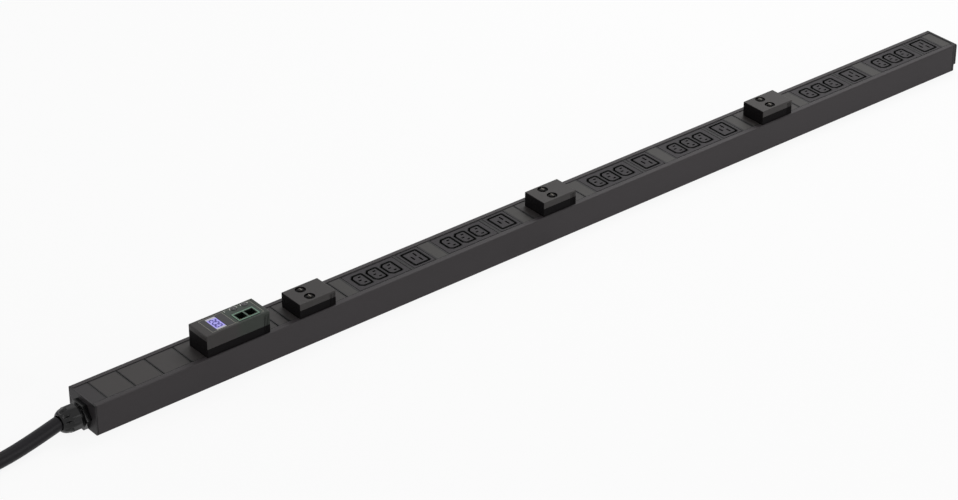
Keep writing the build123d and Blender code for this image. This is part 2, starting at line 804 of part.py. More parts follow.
def gland_cap_nut():
    """Domed nut with flats, narrowing to the cord."""
    start = along(0) - CAP_NUT_START
    end = start - CAP_NUT_LENGTH
    grip = polygon_bar(end + CAP_NUT_DOME, start, CAP_NUT_RADIUS - SLIP, CAP_NUT_FLAT_COUNT)
    dome_profile = Plane.XZ * Polygon(
        (end, GLAND_HEIGHT),
        (end, GLAND_HEIGHT + CORD_RADIUS + 3 * SLIP + SHEET),
        (end + CAP_NUT_DOME / 3, GLAND_HEIGHT + CAP_NUT_RADIUS - SHEET),
        (end + CAP_NUT_DOME, GLAND_HEIGHT + CAP_NUT_RADIUS - SLIP),
        (end + CAP_NUT_DOME, GLAND_HEIGHT),
        align=None,
    )
    dome = revolve(dome_profile, Axis((0, 0, GLAND_HEIGHT), (1, 0, 0)))
    neck_end = start + CAP_NUT_START - SLIP - GLAND_HEX_THICK - GLAND_NECK_LENGTH
    nut = grip + dome
    nut -= gland_axis(end - OVERCUT, start + OVERCUT, CORD_RADIUS + SEAT)
    return nut - gland_axis(neck_end - SEAT, start + OVERCUT, GLAND_NECK_RADIUS + SLIP)


def gland_seal():
    """Rubber sleeve between the body and the cord."""
    x0 = along(0) - GLAND_HEX_THICK - GLAND_NECK_LENGTH + SHEET
    sleeve = gland_axis(x0, x0 + SEAL_LENGTH, GLAND_BORE_RADIUS - SLIP)
    return sleeve - gland_axis(x0 - OVERCUT, x0 + SEAL_LENGTH + OVERCUT, CORD_RADIUS + SLIP)


def gland_locknut():
    x0 = along(0) + SHEET
    nut = polygon_bar(x0, x0 + LOCKNUT_THICK, LOCKNUT_RADIUS, 6)
    return nut - gland_axis(x0 - OVERCUT, x0 + LOCKNUT_THICK + OVERCUT, GLAND_THREAD_RADIUS + SLIP)


def supply_wires():
    """Three insulated wires along the back, from the gland to the breakers and the bars."""
    groups = outlet_groups()
    start = along(GLAND_SHANK + 2 * CAP_TONGUE)
    first_bar = bar_ends(groups[0], groups[0])[0]
    last_bar = bar_ends(groups[-1], groups[-1])[0]
    ends = (last_bar, first_bar, first_bar)
    z = SHEET + SEAT + WIRE_RADIUS
    wires = []
    for n, end in enumerate(ends):
        y = HALF_WIDTH - SHEET - SEAT - WIRE_RADIUS - n * WIRE_PITCH
        wires.append(lengthwise(start, end, y, z, WIRE_RADIUS))
    return wires


def run_lengths(points):
    return [(points[n + 1] - points[n]).length for n in range(len(points) - 1)]


def arc_radii(points):
    """Radius for each corner: as large as the runs beside it allow."""
    runs = run_lengths(points)
    radii = []
    for n in range(1, len(points) - 1):
        turn = (points[n] - points[n - 1]).get_angle(points[n + 1] - points[n])
        radii.append(ARC_SHARE * min(runs[n - 1], runs[n]) / math.tan(math.radians(turn) / 2))
    return radii


def cord_points():
    """Corners of the route from the mouth of the gland to the coil."""
    return [Vector(along(0) - CORD_START, 0, GLAND_HEIGHT)] + [Vector(*point) for point in CORD_ROUTE]


def cord_tube():
    points = cord_points()
    radii = arc_radii(points)
    print("cord radii", [round(radius, 1) for radius in radii])
    print("cord runs", [round(run, 1) for run in run_lengths(points)])
    path = FilletPolyline(*points, radius=radii)
    start = Plane(origin=points[0], z_dir=points[1] - points[0])
    tube = sweep(start * Circle(CORD_RADIUS), path=path)
    ratio = tube.volume / (math.pi * CORD_RADIUS**2 * path.length)
    print("cord tube length", round(path.length, 1), "volume ratio", round(ratio, 4))
    inner = gland_axis(along(0) - CORD_START, along(GLAND_SHANK), CORD_RADIUS)
    return tube + inner


def coil_ring(columns, z0, z1):
    """Ring that holds this many turns side by side, counted from the inmost."""
    inner = COIL_MID_RADIUS - COIL_COLUMNS * CORD_RADIUS
    outer = inner + columns * 2 * CORD_RADIUS
    ring = upright(COIL_CENTRE[0], COIL_CENTRE[1], z0, z1, outer)
    return ring - upright(COIL_CENTRE[0], COIL_CENTRE[1], z0, z1, inner)


def cord_coil():
    """Outer shape of the neat coil that the put-away length of the cord makes."""
    layer = 2 * CORD_RADIUS
    return coil_ring(COIL_COLUMNS, 0, layer) + coil_ring(COIL_TOP_COLUMNS, layer, 2 * layer + SEAT)


def tail_start():
    """Point on the outer turn of the top layer where the cord leaves the coil for the plug."""
    return Vector(COIL_CENTRE[0], COIL_CENTRE[1] + COIL_MID_RADIUS, 3 * CORD_RADIUS + SEAT)


def cord_tail():
    start = tail_start()
    return lengthwise(start.X, start.X + TAIL_LENGTH, start.Y, start.Z, CORD_RADIUS)


def mains_plug():
    """Industrial pin and sleeve plug with three pins."""
    start = tail_start()
    x = start.X + TAIL_LENGTH
    plug = None
    for radius, length in (PLUG_NECK, PLUG_GRIP, PLUG_SLEEVE):
        piece = lengthwise(x, x + length, start.Y, start.Z, radius)
        plug = piece if plug is None else plug + piece
        x += length
    sleeve_start = x - PLUG_SLEEVE[1]
    hollow = PLUG_SLEEVE[0] - 2 * SHEET
    plug -= lengthwise(sleeve_start + 2 * SHEET, x + OVERCUT, start.Y, start.Z, hollow)
    for n in range(PLUG_PIN_COUNT):
        angle = math.pi / 2 + n * 2 * math.pi / PLUG_PIN_COUNT
        y = start.Y + PLUG_PIN_CIRCLE * math.cos(angle)
        z = start.Z + PLUG_PIN_CIRCLE * math.sin(angle)
        plug += lengthwise(sleeve_start, x - 2 * SHEET, y, z, PLUG_PIN_RADIUS)
    return plug


def write(name, shapes):
    """Write one node; several loose pieces become one file of separate solids."""
    shape = Compound(children=list(shapes)) if isinstance(shapes, list) else shapes
    export_step(shape, "parts/" + name + ".step")


def main():
    os.makedirs("parts", exist_ok=True)
    write("chassis", chassis())
    write("cable_end_plate", cable_end_plate())
    write("far_end_cap", far_end_cap())
    for number in range(BLANK_COUNT):
        write("blank_plate_%d" % (number + 1), blank_plate(number))
    write("display_plate", display_plate())
    write("filler_plate", filler_plate())
    buttons = 0
    for section in range(SECTION_COUNT):
        label = section + 1
        write("breaker_plate_%d" % label, breaker_plate(section))
        write("outlet_plate_%d" % label, outlet_plate(section))
        write("breaker_housing_%d" % label, breaker_housing(section))
        write("breaker_pair_%d" % label, [thermal_breaker(x, y) for x, y in well_places(section)])
        for x, y in well_places(section):
            buttons += 1
            write("breaker_button_%d" % buttons, reset_button(x, y))
    for number, group in enumerate(outlet_groups(), start=1):
        write("small_outlet_bank_%d" % number, small_bank(group))
        write("large_outlet_%d" % number, large_outlet(group))
    write("line_bars", line_bars())
    write("neutral_bar", common_bar("neutral"))
    write("earth_bar", common_bar("earth"))
    write("supply_wires", supply_wires())
    write("display_housing", display_housing())
    write("display_label", display_label())
    write("display_screen", screen())
    write("control_board", control_board())
    write("network_jack", network_jack())
    for name, (x, y) in zip(("menu_key", "reset_key"), key_places()):
        write(name, key(x, y))
    write("end_screws", end_screws())
    write("mounting_nuts", mounting_nuts())
    write("gland_body", gland_body())
    write("gland_cap_nut", gland_cap_nut())
    write("gland_seal", gland_seal())
    write("gland_locknut", gland_locknut())
    write("cord_tube", cord_tube())
    write("cord_coil", cord_coil())
    write("cord_tail", cord_tail())
    write("mains_plug", mains_plug())


main()
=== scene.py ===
import math

import bmesh
import bpy
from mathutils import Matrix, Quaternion, Vector


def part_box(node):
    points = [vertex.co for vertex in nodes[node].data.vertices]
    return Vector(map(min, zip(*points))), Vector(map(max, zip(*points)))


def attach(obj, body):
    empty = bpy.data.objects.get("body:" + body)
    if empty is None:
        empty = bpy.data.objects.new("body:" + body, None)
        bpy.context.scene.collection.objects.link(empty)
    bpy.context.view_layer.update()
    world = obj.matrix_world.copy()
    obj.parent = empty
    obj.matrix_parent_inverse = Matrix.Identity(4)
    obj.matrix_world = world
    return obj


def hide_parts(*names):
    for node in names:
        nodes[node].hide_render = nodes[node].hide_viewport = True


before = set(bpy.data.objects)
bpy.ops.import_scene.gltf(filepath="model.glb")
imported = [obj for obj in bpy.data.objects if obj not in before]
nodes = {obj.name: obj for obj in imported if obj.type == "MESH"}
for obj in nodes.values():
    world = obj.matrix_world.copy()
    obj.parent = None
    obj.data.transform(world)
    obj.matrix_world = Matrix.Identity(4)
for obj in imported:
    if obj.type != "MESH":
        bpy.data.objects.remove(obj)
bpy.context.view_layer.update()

# Camera: a long lens that looks down on the unit from beyond its cable end, on the near side, as the
# photograph does.
CAMERA_PLACE = Vector((-2.3094, -2.6818, 2.0825))
CAMERA_AIM = Vector((-0.1398, -0.0092, 0.02))
CAMERA_ROLL = math.radians(-0.218)
CAMERA_LENS = 113.64
CAMERA_SENSOR = 36.0
CAMERA_CLIP = (0.1, 40.0)

lens = bpy.data.cameras.new("studio_camera")
lens.lens = CAMERA_LENS
lens.sensor_width = CAMERA_SENSOR
lens.clip_start, lens.clip_end = CAMERA_CLIP
camera = bpy.data.objects.new("studio_camera", lens)
bpy.context.scene.collection.objects.link(camera)
bpy.context.scene.camera = camera
camera.location = CAMERA_PLACE
camera.rotation_mode = "QUATERNION"
aimed = (CAMERA_AIM - CAMERA_PLACE).to_track_quat("-Z", "Y")
camera.rotation_quaternion = aimed @ Quaternion((0, 0, 1), CAMERA_ROLL)


# Supply cord: three cores in one round rubber jacket, 19 mm thick and about 3 m long. It leaves its gland
# straight, sinks to the floor, and the spare length lies in a coil of two layers, three and two turns wide.
CORD_DIAMETER = 0.019
CORD_STEPS = 5
CORD_SIDES = 7
CORD_ROUTE = (
    (-0.791, 0.0, 0.0185),
    (-0.806, -0.0022, 0.0166),
    (-0.835, -0.0064, 0.0131),
    (-0.866, -0.0104, 0.0102),
    (-0.900, -0.0143, 0.0098),
    (-0.940, -0.0182, 0.0098),
    (-0.964, -0.0185, 0.0098),
    (-0.990, -0.0185, 0.0098),
)
COIL_CENTRE = Vector((-0.990, 0.098, 0.0))
COIL_OUTER = 0.1159
COIL_TURNS = 4.5
COIL_LOW = 0.0098
COIL_HIGH = 0.0288
COIL_CLIMB = (2.66, 2.84)
INWARD_STEPS = ((0.82, 0.99), (1.82, 1.99))
OUTWARD_STEP = (3.46, 3.64)
TURN_POINTS = 24
TAIL_ROUTE = ((-0.958, 0.196, 0.0288), (-0.924, 0.1962, 0.0288), (-0.889, 0.196, 0.0288))


def eased(turn, start, end):
    """0 before the start, 1 after the end, with a soft change between them."""
    share = min(1.0, max(0.0, (turn - start) / (end - start)))
    return share * share * (3 - 2 * share)


def coil_radius(turn):
    """Inwards over two turns on the floor, and outwards once on top."""
    inwards = sum(eased(turn, *step) for step in INWARD_STEPS) - eased(turn, *OUTWARD_STEP)
    return COIL_OUTER - inwards * CORD_DIAMETER


def coil_point(turn):
    """Point of the coil after so many turns, clockwise from where the cord runs in."""
    angle = -math.pi / 2 - 2 * math.pi * turn
    radius = coil_radius(turn) / math.cos(math.pi / TURN_POINTS)
    height = COIL_LOW + (COIL_HIGH - COIL_LOW) * eased(turn, *COIL_CLIMB)
    return COIL_CENTRE + Vector((radius * math.cos(angle), radius * math.sin(angle), height))


def smooth_line(name, points, radius):
    """Open NURBS spline through space with these control points, each of which holds the tube's radius."""
    line = bpy.data.curves.new(name, "CURVE")
    line.dimensions = "3D"
    spline = line.splines.new("NURBS")
    spline.points.add(len(points) - 1)
    for control, point in zip(spline.points, points):
        control.co = (*point, 1.0)
        control.radius = radius
    spline.order_u = 3
    spline.use_endpoint_u = True
    return line


def place(name, data):
    """Object that shows a mesh or a curve."""
    piece = bpy.data.objects.new(name, data)
    bpy.context.scene.collection.objects.link(piece)
    return piece


coil_steps = range(1, int(COIL_TURNS * TURN_POINTS) + 1)
cord_points = [Vector(point) for point in CORD_ROUTE]
cord_points += [coil_point(step / TURN_POINTS) for step in coil_steps]
cord_points += [Vector(point) for point in TAIL_ROUTE]
cord_line = smooth_line("supply_cord", cord_points, CORD_DIAMETER / 2)
cord_line.resolution_u = CORD_STEPS
cord_line.bevel_depth = 1.0
cord_line.bevel_resolution = CORD_SIDES
cord_line.use_fill_caps = True
supply_cord = place("supply_cord", cord_line)
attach(supply_cord, "unit")
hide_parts("cord_tube", "cord_coil", "cord_tail")


def srgb(red, green, blue):
    """Colour as a picture shows it, 0 to 255, turned into the light that shaders count in."""
    light = []
    for level in (red / 255, green / 255, blue / 255):
        light.append(level / 12.92 if level <= 0.04045 else ((level + 0.055) / 1.055) ** 2.4)
    return (*light, 1.0)


class Socket:
    """An output in a material. Sums and products of sockets add Math nodes."""

    def __init__(self, output):
        self.output = output

    def node(self, kind, settings=None, inputs=None, output=0):
        """Add a node to the same material: its settings first, then the values or links of its sockets."""
        tree = self.output.id_data
        made = tree.nodes.new(kind)
        for name, value in (settings or {}).items():
            setattr(made, name, value)
        for name, value in (inputs or {}).items():
            if isinstance(value, Socket):
                tree.links.new(value.output, made.inputs[name])
            else:
                made.inputs[name].default_value = value
        return Socket(made.outputs[output]) if made.outputs else None

    def math(self, operation, first, second):
        return self.node("ShaderNodeMath", {"operation": operation}, {0: first, 1: second})

    def __add__(self, other):
        return self.math("ADD", self, other)

    def __radd__(self, other):
        return self.math("ADD", other, self)

    def __sub__(self, other):
        return self.math("SUBTRACT", self, other)

    def __rsub__(self, other):
        return self.math("SUBTRACT", other, self)

    def __mul__(self, other):
        return self.math("MULTIPLY", self, other)

    def __rmul__(self, other):
        return self.math("MULTIPLY", other, self)

    def __gt__(self, other):
        return self.math("GREATER_THAN", self, other)

    def __lt__(self, other):
        return self.math("LESS_THAN", self, other)

    def __abs__(self):
        return self.node("ShaderNodeMath", {"operation": "ABSOLUTE"}, {0: self})

    def wave(self):
        """Sine of this value."""
        return self.node("ShaderNodeMath", {"operation": "SINE"}, {0: self})

    def axis(self, name):
        """One coordinate of this point."""
        return self.node("ShaderNodeSeparateXYZ", {}, {0: self}, name)

    def noise(self, scale, detail=3.0, roughness=0.5):
        """Soft noise at this point, about 0.3 to 0.7."""
        sizes = {"Vector": self, "Scale": scale, "Detail": detail, "Roughness": roughness}
        return self.node("ShaderNodeTexNoise", {}, sizes, "Fac")

    def rise(self, low, high):
        """0 below low and 1 above high, soft between them."""
        ends = {"Value": self, "From Min": low, "From Max": high}
        return self.node("ShaderNodeMapRange", {"interpolation_type": "SMOOTHSTEP"}, ends)

    def between(self, first, second):
        """Colour that goes from the first to the second as this value goes from 0 to 1."""
        return self.node("ShaderNodeMix", {"data_type": "RGBA"}, {0: self, 6: first, 7: second}, 2)

    def bump(self, distance, strength=1.0, normal=None):
        """Normal that this height gives a surface."""
        inputs = {"Height": self, "Distance": distance, "Strength": strength}
        if normal:
            inputs["Normal"] = normal
        return self.node("ShaderNodeBump", {}, inputs, "Normal")

    def soft_edges(self, radius):
        """Normal that rounds the edges of a surface."""
        return self.node("ShaderNodeBevel", {"samples": 4}, {"Radius": radius})


def new_finish(name):
    """Empty material, and the point on the object that its pattern starts from."""
    material = bpy.data.materials.new(name)
    material.use_nodes = True
    material.node_tree.nodes.clear()
    point = material.node_tree.nodes.new("ShaderNodeTexCoord")
    return material, Socket(point.outputs["Object"])


def shade(point, sockets):
    """Put a Principled shader with these sockets on the material's output."""
    shader = point.node("ShaderNodeBsdfPrincipled", {}, sockets)
    point.node("ShaderNodeOutputMaterial", {}, {"Surface": shader})


def dress(material, *names):
    """Give CAD nodes or new pieces this material in place of their own."""
    for name in names:
        piece = nodes[name] if isinstance(name, str) else name
        piece.data.materials.clear()
        piece.data.materials.append(material)
        for polygon in getattr(piece.data, "polygons", ()):
            polygon.material_index = 0


jacket, point = new_finish("cord_jacket")
drag = point.noise(60, 4)
grain = point.noise(1400, 2)
shade(point, {
    "Base Color": drag.between(srgb(10, 9, 12), srgb(22, 20, 24)),
    "Roughness": 0.26 + drag * 0.24,
    "Specular IOR Level": 0.16,
    "Normal": (grain + drag * 2).bump(0.00012, 0.35),
})
dress(jacket, supply_cord, "cord_tube", "cord_coil", "cord_tail")


# Coil ties: two hook and loop straps, 16 mm wide, each pulled round all five turns where both layers are
# full. The end of a strap lies over its start on the outer side.
TIE_TURNS = (0.17, 0.42)
TIE_WIDTH = 0.016
TIE_THICK = 0.0011
TIE_SLACK = 0.0002
TIE_LAP = (0.02, 0.30)
TIE_ROUND = 20
TIE_STEPS = 80
TURNS_TIED = 5
TURNS_BELOW = 3
FLOOR_GAP = 0.0001


def hull(points):
    """Corners of the tight outline round some points, in order."""
    found = []
    for ordered in (sorted(points), sorted(points, reverse=True)):
        side = []
        for point in ordered:
            while len(side) > 1 and cross(side[-2], side[-1], point) <= 0:
                side.pop()
            side.append(point)
        found += side[:-1]
    return found


def cross(first, second, third):
    """Above 0 where three points in a plane turn left."""
    return (second[0] - first[0]) * (third[1] - first[1]) - (second[1] - first[1]) * (third[0] - first[0])


def tie_outline(turn, offset):
    """Tight outline round the turns at this place, as distances from the coil's middle and heights."""
    rim = CORD_DIAMETER / 2 + offset
    middles = [(coil_radius(turn + n), COIL_LOW if n < TURNS_BELOW else COIL_HIGH) for n in range(TURNS_TIED)]
    points = []
    for radius, height in middles:
        for step in range(TIE_ROUND):
            angle = 2 * math.pi * step / TIE_ROUND
            points.append((radius + rim * math.cos(angle), height + rim * math.sin(angle)))
    return [(radius, max(height, FLOOR_GAP)) for radius, height in hull(points)]


def at_share(outline, share):
    """Point at this share of the way round a closed outline."""
    lengths = [math.dist(outline[n - 1], outline[n]) for n in range(len(outline))]
    left = share * sum(lengths)
    for n, length in enumerate(lengths):
        if left <= length:
            along = left / length if length else 0.0
            start, end = outline[n - 1], outline[n]
            return tuple(start[k] + (end[k] - start[k]) * along for k in range(2))
        left -= length
    return outline[-1]


def coil_tie(name, turn):
    """Closed strap: rings of four corners that follow the outline."""
    angle = -math.pi / 2 - 2 * math.pi * turn
    outwards = Vector((math.cos(angle), math.sin(angle), 0))
    sideways = Vector((-math.sin(angle), math.cos(angle), 0))
    inner, outer = tie_outline(turn, TIE_SLACK), tie_outline(turn, TIE_SLACK + TIE_THICK)
    lapped = tie_outline(turn, TIE_SLACK + 2 * TIE_THICK)
    mesh = bmesh.new()
    rings = []
    for step in range(TIE_STEPS):
        share = step / TIE_STEPS
        top = lapped if TIE_LAP[0] < share < TIE_LAP[1] else outer
        corners = []
        for outline, side in ((inner, -1), (inner, 1), (top, 1), (top, -1)):
            radius, height = at_share(outline, share)
            place_at = COIL_CENTRE + outwards * radius + sideways * side * TIE_WIDTH / 2
            corners.append(mesh.verts.new((place_at.x, place_at.y, height)))
        rings.append(corners)
    for n, ring in enumerate(rings):
        after = rings[(n + 1) % TIE_STEPS]
        for k in range(4):
            mesh.faces.new((ring[k], ring[(k + 1) % 4], after[(k + 1) % 4], after[k]))
    bmesh.ops.recalc_face_normals(mesh, faces=mesh.faces)
    data = bpy.data.meshes.new(name)
    mesh.to_mesh(data)
    mesh.free()
    return place(name, data)


strap, point = new_finish("coil_strap")
loops = point.noise(2600, 2, 0.7)
shade(point, {
    "Base Color": loops.between(srgb(24, 24, 26), srgb(52, 51, 54)),
    "Roughness": 0.86,
    "Sheen Weight": 0.3,
    "Specular IOR Level": 0.2,
    "Normal": loops.bump(0.0005, 0.6),
})
coil_ties = []
for number, turn in enumerate(TIE_TURNS, start=1):
    tie = coil_tie("coil_tie_%d" % number, turn)
    coil_ties.append(tie)
    dress(strap, tie)
    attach(tie, "unit")


# Studio: a pale floor that keeps the soft shadow of the unit, a white surround, and four square lamps. None
# of it belongs to the unit.
FLOOR_SIZE = 9.0
FLOOR_DROP = 0.0002
FLOOR_TONE = (0.86, 0.86, 0.86, 1.0)
FLOOR_BRIGHT = 0.9
SURROUND_LIGHT = 0.32
WHITE = (1.0, 1.0, 1.0, 1.0)
LAMPS = (
    ("lamp_over", (1.35, 0.5, 2.0), (0.2, 0.0, 0.0), 1.1, 29.0),
    ("lamp_near_side", (0.4, -2.6, 1.1), (0.0, 0.0, 0.0), 1.8, 18.0),
    ("lamp_cable_end", (-1.6, 1.7, 1.2), (-0.75, 0.0, 0.0), 0.4, 4.0),
    ("lamp_glint", (-1.9, -0.6, 2.2), (-0.7, 0.0, 0.0), 0.2, 4.5),
)

floor_mesh = bpy.data.meshes.new("floor")
half = FLOOR_SIZE / 2
floor_corners = [(-half, -half, 0), (half, -half, 0), (half, half, 0), (-half, half, 0)]
floor_mesh.from_pydata(floor_corners, [], [(0, 1, 2, 3)])
floor = place("floor", floor_mesh)
floor.location.z = -FLOOR_DROP
bpy.context.scene.view_settings.view_transform = "Standard"


def seen_rays(camera_ray):
    """1 for rays from the camera, off gloss and through glass, from the first of a Light Path's outputs."""
    rays = camera_ray.output.node
    return camera_ray + Socket(rays.outputs["Is Glossy Ray"]) + Socket(rays.outputs["Is Transmission Ray"])


pale, point = new_finish("pale_floor")
seen = seen_rays(point.node("ShaderNodeLightPath", {}, {}, "Is Camera Ray"))
painted = point.node("ShaderNodeBsdfDiffuse", {}, {"Color": FLOOR_TONE})
white = point.node("ShaderNodeEmission", {}, {"Color": WHITE, "Strength": 1.0})
mixed = point.node("ShaderNodeMixShader", {}, {0: seen * FLOOR_BRIGHT, 1: painted, 2: white})
point.node("ShaderNodeOutputMaterial", {}, {"Surface": mixed})
dress(pale, floor)

surround = bpy.data.worlds.new("studio_surround")
bpy.context.scene.world = surround
surround.use_nodes = True
surround.node_tree.nodes.clear()
direct = Socket(surround.node_tree.nodes.new("ShaderNodeLightPath").outputs["Is Camera Ray"])
lit = direct.node("ShaderNodeBackground", {}, {"Color": WHITE, "Strength": SURROUND_LIGHT})
plain = direct.node("ShaderNodeBackground", {}, {"Color": WHITE, "Strength": 1.0})
both = direct.node("ShaderNodeMixShader", {}, {0: seen_rays(direct), 1: lit, 2: plain})
direct.node("ShaderNodeOutputWorld", {}, {"Surface": both})


def studio_lamp(name, at, aim, size, power):
    """Square area lamp that points at a place on the unit."""
    data = bpy.data.lights.new(name, "AREA")
    data.shape = "SQUARE"
    data.size = size
    data.energy = power
    lamp = bpy.data.objects.new(name, data)
    bpy.context.scene.collection.objects.link(lamp)
    lamp.location = at
    lamp.rotation_mode = "QUATERNION"
    lamp.rotation_quaternion = (Vector(aim) - Vector(at)).to_track_quat("-Z", "Y")


for lamp in LAMPS:
    studio_lamp(*lamp)


# Chassis: one steel channel, 1.5 mm thick, folded with two lips and powder coated in a warm black grey. Its
# end plate is folded from the same sheet and coated with it.
LIP_EDGE = 0.0228
PLATE_BACK = 0.0405
# Painted shade: a dark band either side of each gap between plates and along the lips' inner edges.
SEAM_SHADE_WIDTH = 0.0017
SEAM_SHADE_TONE = srgb(8, 7, 8)
CHANNEL_TONES = (srgb(40, 36, 38), srgb(49, 45, 47))
# Pale tone along the channel's folds and cut edges: partly paler worn coat, partly a painted highlight.
CHANNEL_EDGE_WEAR_AND_SHEEN = (srgb(150, 148, 150), 0.14, 0.0009)
# The end plate gets a darker copy of the channel's coat: painted shade on its end face.
END_PLATE_SHADED_TONES = (srgb(33, 30, 32), srgb(41, 38, 40))
# Dark tone along the end plate's edges: painted shade.
END_PLATE_EDGE_SHADE = (srgb(12, 11, 12), 0.9, 0.0012)


def within(value, low, high):
    """1 between two values, and 0 outside them."""
    return (value > low) * (value < high)


def seams_at(point, *stations):
    """1 near the gap at each of these stations, and near the lips' edges, where the plates lie in shade."""
    x, y, z = point.axis("X"), point.axis("Y"), point.axis("Z")
    shaded = (abs(y) > LIP_EDGE - SEAM_SHADE_WIDTH) * (z > PLATE_BACK)
    for at in stations:
        shaded = within(x, at - SEAM_SHADE_WIDTH, at + SEAM_SHADE_WIDTH) + shaded
    return shaded.rise(0, 1)


def turned_edges(point, width, low, high):
    """Normal that rounds the edges, and how far it turns away from the flat sheet, 0 to 1."""
    rounded = point.soft_edges(width)
    true = point.node("ShaderNodeNewGeometry", {}, {}, "Normal")
    turned = point.node("ShaderNodeVectorMath", {"operation": "DISTANCE"}, {0: rounded, 1: true}, "Value")
    return rounded, turned.rise(low, high)


def powder_coat(name, tones, rough, edges, seams=()):
    """Fine orange peel with broad soft clouds, and another tone along the folds, cut edges and seams. A dark
    edge tone there is painted shade; a pale one is paler worn coat with a painted highlight.
    """
    material, point = new_finish(name)
    edge_sheen_and_shade_tone, edge_share, edge_width = edges
    clouds = point.noise(7, 4, 0.6)
    peel = point.noise(900, 2, 0.55)
    grit = point.noise(3200, 2, 0.6)
    rounded, edge = turned_edges(point, edge_width, 0.05, 0.6)
    coat = (clouds * 0.7 + grit * 0.5 - 0.1).rise(0.2, 0.8)
    tone = (edge * edge_share).between(coat.between(*tones), edge_sheen_and_shade_tone)
    shade(point, {
        "Base Color": seams_at(point, *seams).between(tone, SEAM_SHADE_TONE) if seams else tone,
        "Roughness": rough + clouds * 0.12 - edge * 0.06,
        "Specular IOR Level": 0.3,
        "Normal": (peel + grit * 0.5).bump(0.00006, 0.6, rounded),
    })
    return material


dress(powder_coat("channel_coat", CHANNEL_TONES, 0.48, CHANNEL_EDGE_WEAR_AND_SHEEN), "chassis")
tab_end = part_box("cable_end_plate")[1][0]
dress(powder_coat("end_plate_shaded_coat", END_PLATE_SHADED_TONES, 0.48, END_PLATE_EDGE_SHADE, (tab_end,)), "cable_end_plate")


# Front plates: pieces of steel sheet that slide in under the channel's lips from its end. Their powder coat
# is slightly paler than the channel's, and the gaps between them lie in shade.
PLATE_TONES = (srgb(42, 39, 39), srgb(53, 50, 49))
# Dark tone along the plates' edges: painted shade.
PLATE_EDGE_SHADE = (srgb(10, 9, 10), 1.0, 0.0015)

plates = ["blank_plate_%d" % n for n in (1, 2, 3)] + ["display_plate", "filler_plate"]
plates += ["breaker_plate_%d" % n for n in (1, 2, 3)]
plate_ends = [corner[0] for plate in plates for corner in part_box(plate)]
dress(powder_coat("plate_coat", PLATE_TONES, 0.46, PLATE_EDGE_SHADE, plate_ends), *plates)


# Outlet plates: steel plates with a cutout for each outlet moulding. They show paler and warmer between the
# groups of outlets, and have a fine score line across the strip inside each group.
GROUP_NUMBERS = range(1, 7)
BANK_NAMES = ["small_outlet_bank_%d" % n for n in GROUP_NUMBERS]
LARGE_NAMES = ["large_outlet_%d" % n for n in GROUP_NUMBERS]
GROUP_MARGIN = 0.0006
SCORE_HALF = 0.0009
# Besides the score lines, the dark tone paints shade round each moulding's cutout, at the plates' ends, along
# the lips and along the plates' edges.
SURROUND_SHADE = 0.0014
BETWEEN_TONES = (srgb(44, 42, 41), srgb(53, 51, 49))
GROUP_TONES = (srgb(41, 39, 42), srgb(49, 47, 50))

outlet_plate_coat, point = new_finish("outlet_plate_coat")
station, across = point.axis("X"), abs(point.axis("Y"))
outlet_plates = ["outlet_plate_%d" % n for n in (1, 2, 3)]
scores_and_shade = seams_at(point, *[corner[0] for plate in outlet_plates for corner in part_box(plate)])
grouped = 0.0
for bank, large in zip(map(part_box, BANK_NAMES), map(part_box, LARGE_NAMES)):
    grouped = within(station, bank[0][0] - GROUP_MARGIN, large[1][0] + GROUP_MARGIN) + grouped
    strip_middle = (bank[1][0] + large[0][0]) / 2
    scores_and_shade = within(station, strip_middle - SCORE_HALF, strip_middle + SCORE_HALF) + scores_and_shade
    for low, high in (bank, large):
        round_x = within(station, low[0] - SURROUND_SHADE, high[0] + SURROUND_SHADE)
        scores_and_shade = round_x * (across < high[1] + SURROUND_SHADE) + scores_and_shade
clouds = point.noise(60, 4, 0.6)
grit = point.noise(3200, 2, 0.6)
rounded, edge = turned_edges(point, 0.0012, 0.04, 0.4)
coat = (clouds * 0.7 + grit * 0.5 - 0.1).rise(0.2, 0.8)
plain = grouped.between(coat.between(*BETWEEN_TONES), coat.between(*GROUP_TONES))
shade(point, {
    "Base Color": (edge + scores_and_shade).rise(0, 1).between(plain, SEAM_SHADE_TONE),
    "Roughness": 0.46 + clouds * 0.12,
    "Specular IOR Level": 0.3,
    "Normal": (grit * 0.5 - scores_and_shade * 2).bump(0.00006, 0.6, rounded),
})
dress(outlet_plate_coat, *outlet_plates)


# Outlet mouldings: matt grey thermoplastic, with the fine grain of the mould, a deep collar groove round each
# boss and square contact slots.
OUTLET_TONES = (srgb(46, 44, 46), srgb(60, 57, 60))
SHADE_TONE = srgb(5, 5, 6)
OUTLET_FACE = 0.0425
GROOVE_SHADE = 0.0003
LIP_SHADE = 0.0010
RIM_SHADE = 0.0009
SMALL_PITCH = 0.024
SMALL_COUNT = 3
LARGE_PITCH = 0.1
SMALL_RING = (0.0205, 0.0290, 0.0052, 0.0020)
SMALL_BOSS = (0.0154, 0.0238, 0.0026, 0.0006)
LARGE_RING = (0.0266, 0.0342, 0.0018, 0.0018)
LARGE_BOSS = (0.0214, 0.0290, 0.0002, 0.0002)


def inside_outline(x, y, outline, grown):
    """1 inside an outlet's outline: length, width, and what its earth side and its other corners lose."""
    half_x, half_y = outline[0] / 2 + grown, outline[1] / 2 + grown
    reach = half_x + half_y + grown * (math.sqrt(2) - 2)
    square = (abs(x) < half_x) * (abs(y) < half_y)
    return square * (x + abs(y) < reach - outline[3]) * (abs(y) - x < reach - outline[2])


